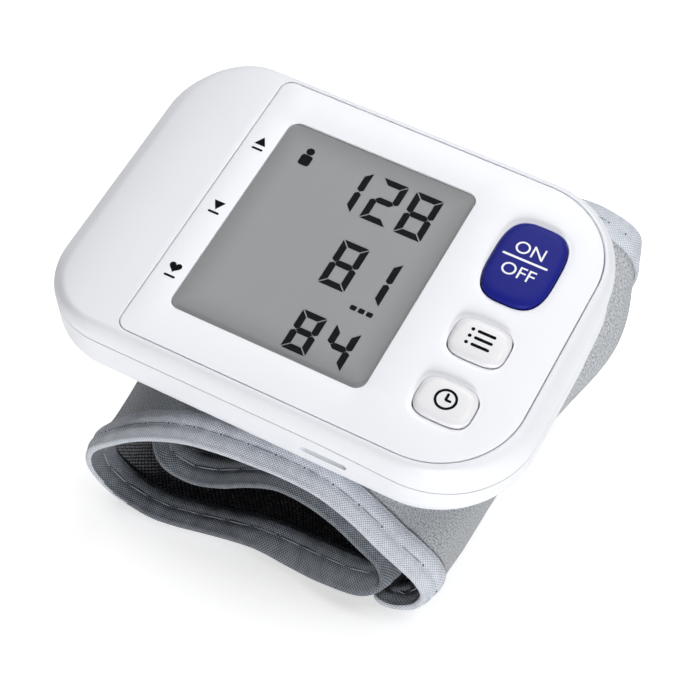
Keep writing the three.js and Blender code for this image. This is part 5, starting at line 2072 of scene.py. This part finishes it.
def sewn(name: str, spots: Array, ways: Array, outs: Array, holes: Array,
         cuff: Cuff) -> Piece:
    """Sews a line of stitches at points of the cuff.

    Args:
        name: Name of the piece.
        spots: Middle of each stitch, in the drawing's millimetres.
        ways: Direction of each stitch.
        outs: Direction out of the cloth at each stitch.
        holes: Way from each stitch's middle to the hole at its end, in millimetres.
        cuff: Cuff whose sizes are used.

    Returns:
        One plain mesh with every stitch.
    """
    mesh = bpy.data.meshes.new(name)
    mesh.from_pydata(spots.tolist(), [], [])
    mesh.transform(cuff.strip.place)
    for attribute, vectors in (("along", ways), ("out", outs), ("hole", holes * MM)):
        give_vectors(mesh, attribute, vectors)
    seed = linked(name + "_points", mesh)
    modifier = adjust(seed.modifiers.new("sewn", "NODES"), node_group=stitch_tree())
    values = {"Stitch length": cuff.stitch_length * MM, "Thread width": cuff.thread * MM,
              "Hole width": cuff.hole * MM, "Thread finish": THREAD.material(),
              "Hole finish": STITCH_HOLE_PAINTED_SHADE.material()}
    for item in modifier.node_group.interface.items_tree:
        if item.item_type == "SOCKET" and item.in_out == "INPUT" and item.name in values:
            modifier[item.identifier] = values[item.name]
    made = evaluated(seed)
    bpy.data.objects.remove(seed)
    made.name = name
    made.shade_smooth()
    return linked(name, made)


# Inner pieces


INNER_FINISHES: dict[Finish, tuple[str, ...]] = {
    CASE_WHITE: ("cuff_plate",),
    STEEL: (*(f"case_screw_{k}" for k in range(1, 5)), "pump_motor", "release_valve", "battery_spring_left",
            "battery_spring_right"),
    BRASS: ("battery_terminal_left", "battery_terminal_right"),
    BLACK: ("lcd_frame", "start_switch", "memory_switch", "set_switch", "pressure_sensor", "controller_chip",
            "buzzer", "pump_head", "air_manifold", "cuff_nozzle"),
    RUBBER: ("lcd_connector", "pump_tube", "valve_tube", "sensor_tube"),
    LABEL: ("battery_left", "battery_right"),
    BOARD: ("main_board",),
}


def dress_inner_pieces(nodes: dict[str, Piece]) -> None:
    """Gives each CAD node that stays its finish.

    Args:
        nodes: The frame's nodes by name.
    """
    for finish, names in INNER_FINISHES.items():
        for name in names:
            slots = nodes[name].data.materials
            slots.clear()
            slots.append(finish.material())
            LOG.info("%s keeps its CAD shape with %s", name, finish.name)


# Studio


@dataclass(frozen=True)
class Lamp:
    """One soft area lamp: where it is, how large and how strong it is, in metres and watts."""

    name: str
    spot: Triple
    size: float
    watts: float


@dataclass
class Studio:
    """White table, soft lamps and the camera, whose spot is in millimetres; the rest is in metres."""

    camera_spot: Triple = (114.398, -213.849, 258.103)
    camera_way: Triple = (-0.34179, 0.62575, -0.70116)
    camera_roll_deg: float = -1.81
    camera_lens: float = 97.40
    camera_sensor: float = 36.0
    camera_reach: Pair = (0.01, 20.0)
    floor_half: float = 3.0
    floor_colour: str = "f2f2f2"
    floor_roughness: float = 0.9
    floor_glow: float = 0.6
    shadow_reach: Pair = (0.08, 0.4)
    world_light: float = 0.03
    lamps: tuple[Lamp, ...] = (
        Lamp("top_lamp", (0.5, 0.1, 0.8), 0.5, 2.5),
        Lamp("back_lamp", (0.0, 0.55, 0.75), 0.5, 4.75),
        Lamp("left_lamp", (-0.5, 0.1, 0.8), 0.5, 1.9),
        Lamp("front_lamp", (0.42, -0.76, 0.045), 0.16, 6.2),
    )
    lamp_aim: Triple = (0.0, 0.0, 0.03)

    def camera(self) -> None:
        """Builds the camera at the photograph's viewing angle."""
        way = Vector(self.camera_way).normalized()
        level = way.cross(Vector((0, 0, 1))).normalized()
        roll = math.radians(self.camera_roll_deg)
        right = level * math.cos(roll) + level.cross(way) * math.sin(roll)
        turn = Matrix((right, right.cross(way), -way)).transposed().to_4x4()
        near, far = self.camera_reach
        data = adjust(bpy.data.cameras.new("camera"), lens=self.camera_lens, sensor_width=self.camera_sensor,
                      clip_start=near, clip_end=far)
        made = linked("camera", data)
        made.matrix_world = Matrix.Translation(Vector(self.camera_spot) * MM) @ turn
        bpy.context.scene.camera = made

    def floor(self) -> None:
        """Builds the white table, which keeps the object's shadow."""
        half = self.floor_half
        corners = [(-half, -half, 0), (half, -half, 0), (half, half, 0), (-half, half, 0)]
        mesh = bpy.data.meshes.new("table")
        mesh.from_pydata(corners, [], [(0, 1, 2, 3)])
        material = adjust(bpy.data.materials.new("table_white"), use_nodes=True)
        mesh.materials.append(material)
        tree = material.node_tree
        path = add_node(tree, "ShaderNodeLightPath").outputs
        seen = math_node(tree, "MAXIMUM", path["Is Camera Ray"], path["Is Glossy Ray"])
        seen = math_node(tree, "MAXIMUM", seen, path["Is Transmission Ray"])
        place = own_place(tree)
        far = add_node(tree, "ShaderNodeVectorMath", {0: place}, operation="LENGTH").outputs["Value"]
        start, end = self.shadow_reach
        inputs = {"Value": far, "From Min": start, "From Max": end, "To Min": self.floor_glow, "To Max": 1.0}
        reach = add_node(tree, "ShaderNodeMapRange", inputs, interpolation_type="SMOOTHSTEP").outputs[0]
        feed(tree, tree.nodes["Principled BSDF"], {
            "Base Color": linear(self.floor_colour),
            "Roughness": self.floor_roughness,
            "Specular IOR Level": 0.0,
            "Emission Color": (1, 1, 1, 1),
            "Emission Strength": math_node(tree, "MULTIPLY", seen, reach),
        })
        linked("table", mesh)

    def world(self) -> None:
        """Builds an even white surround that lights softly and looks white to the camera."""
        world = adjust(bpy.data.worlds.new("surround"), use_nodes=True)
        tree = world.node_tree
        to_camera = add_node(tree, "ShaderNodeLightPath").outputs["Is Camera Ray"]
        strength = span(tree, to_camera, self.world_light, 1.0)
        feed(tree, tree.nodes["Background"], {"Color": (1, 1, 1, 1), "Strength": strength})
        bpy.context.scene.world = world

    def light(self) -> None:
        """Builds the lamps."""
        for lamp in self.lamps:
            data = adjust(bpy.data.lights.new(lamp.name, "AREA"), shape="DISK", size=lamp.size,
                          energy=lamp.watts)
            spot = Vector(lamp.spot)
            turn = (Vector(self.lamp_aim) - spot).to_track_quat("-Z", "Y").to_matrix().to_4x4()
            linked(lamp.name, data).matrix_world = Matrix.Translation(spot) @ turn

    def build(self) -> None:
        """Builds the camera, table, surround and lamps."""
        self.camera()
        self.floor()
        self.world()
        self.light()
        bpy.context.scene.view_settings.view_transform = "Standard"


def main() -> None:
    """Builds the monitor piece by piece, then the studio round it."""
    logging.basicConfig(level=logging.INFO, format="%(name)s: %(message)s")
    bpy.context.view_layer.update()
    stance = Stance()
    casing = Casing(stance.matrix())
    casing.build()
    panel = FacePanel(casing)
    panel.build()
    DisplayPrint(panel).build()
    Keys(casing.place).build()
    PanelPrint(casing.place).build()
    Cuff(Strip(stance)).build()
    dress_inner_pieces(frame["nodes"])
    Studio().build()


if __name__ == "__main__":
    main()
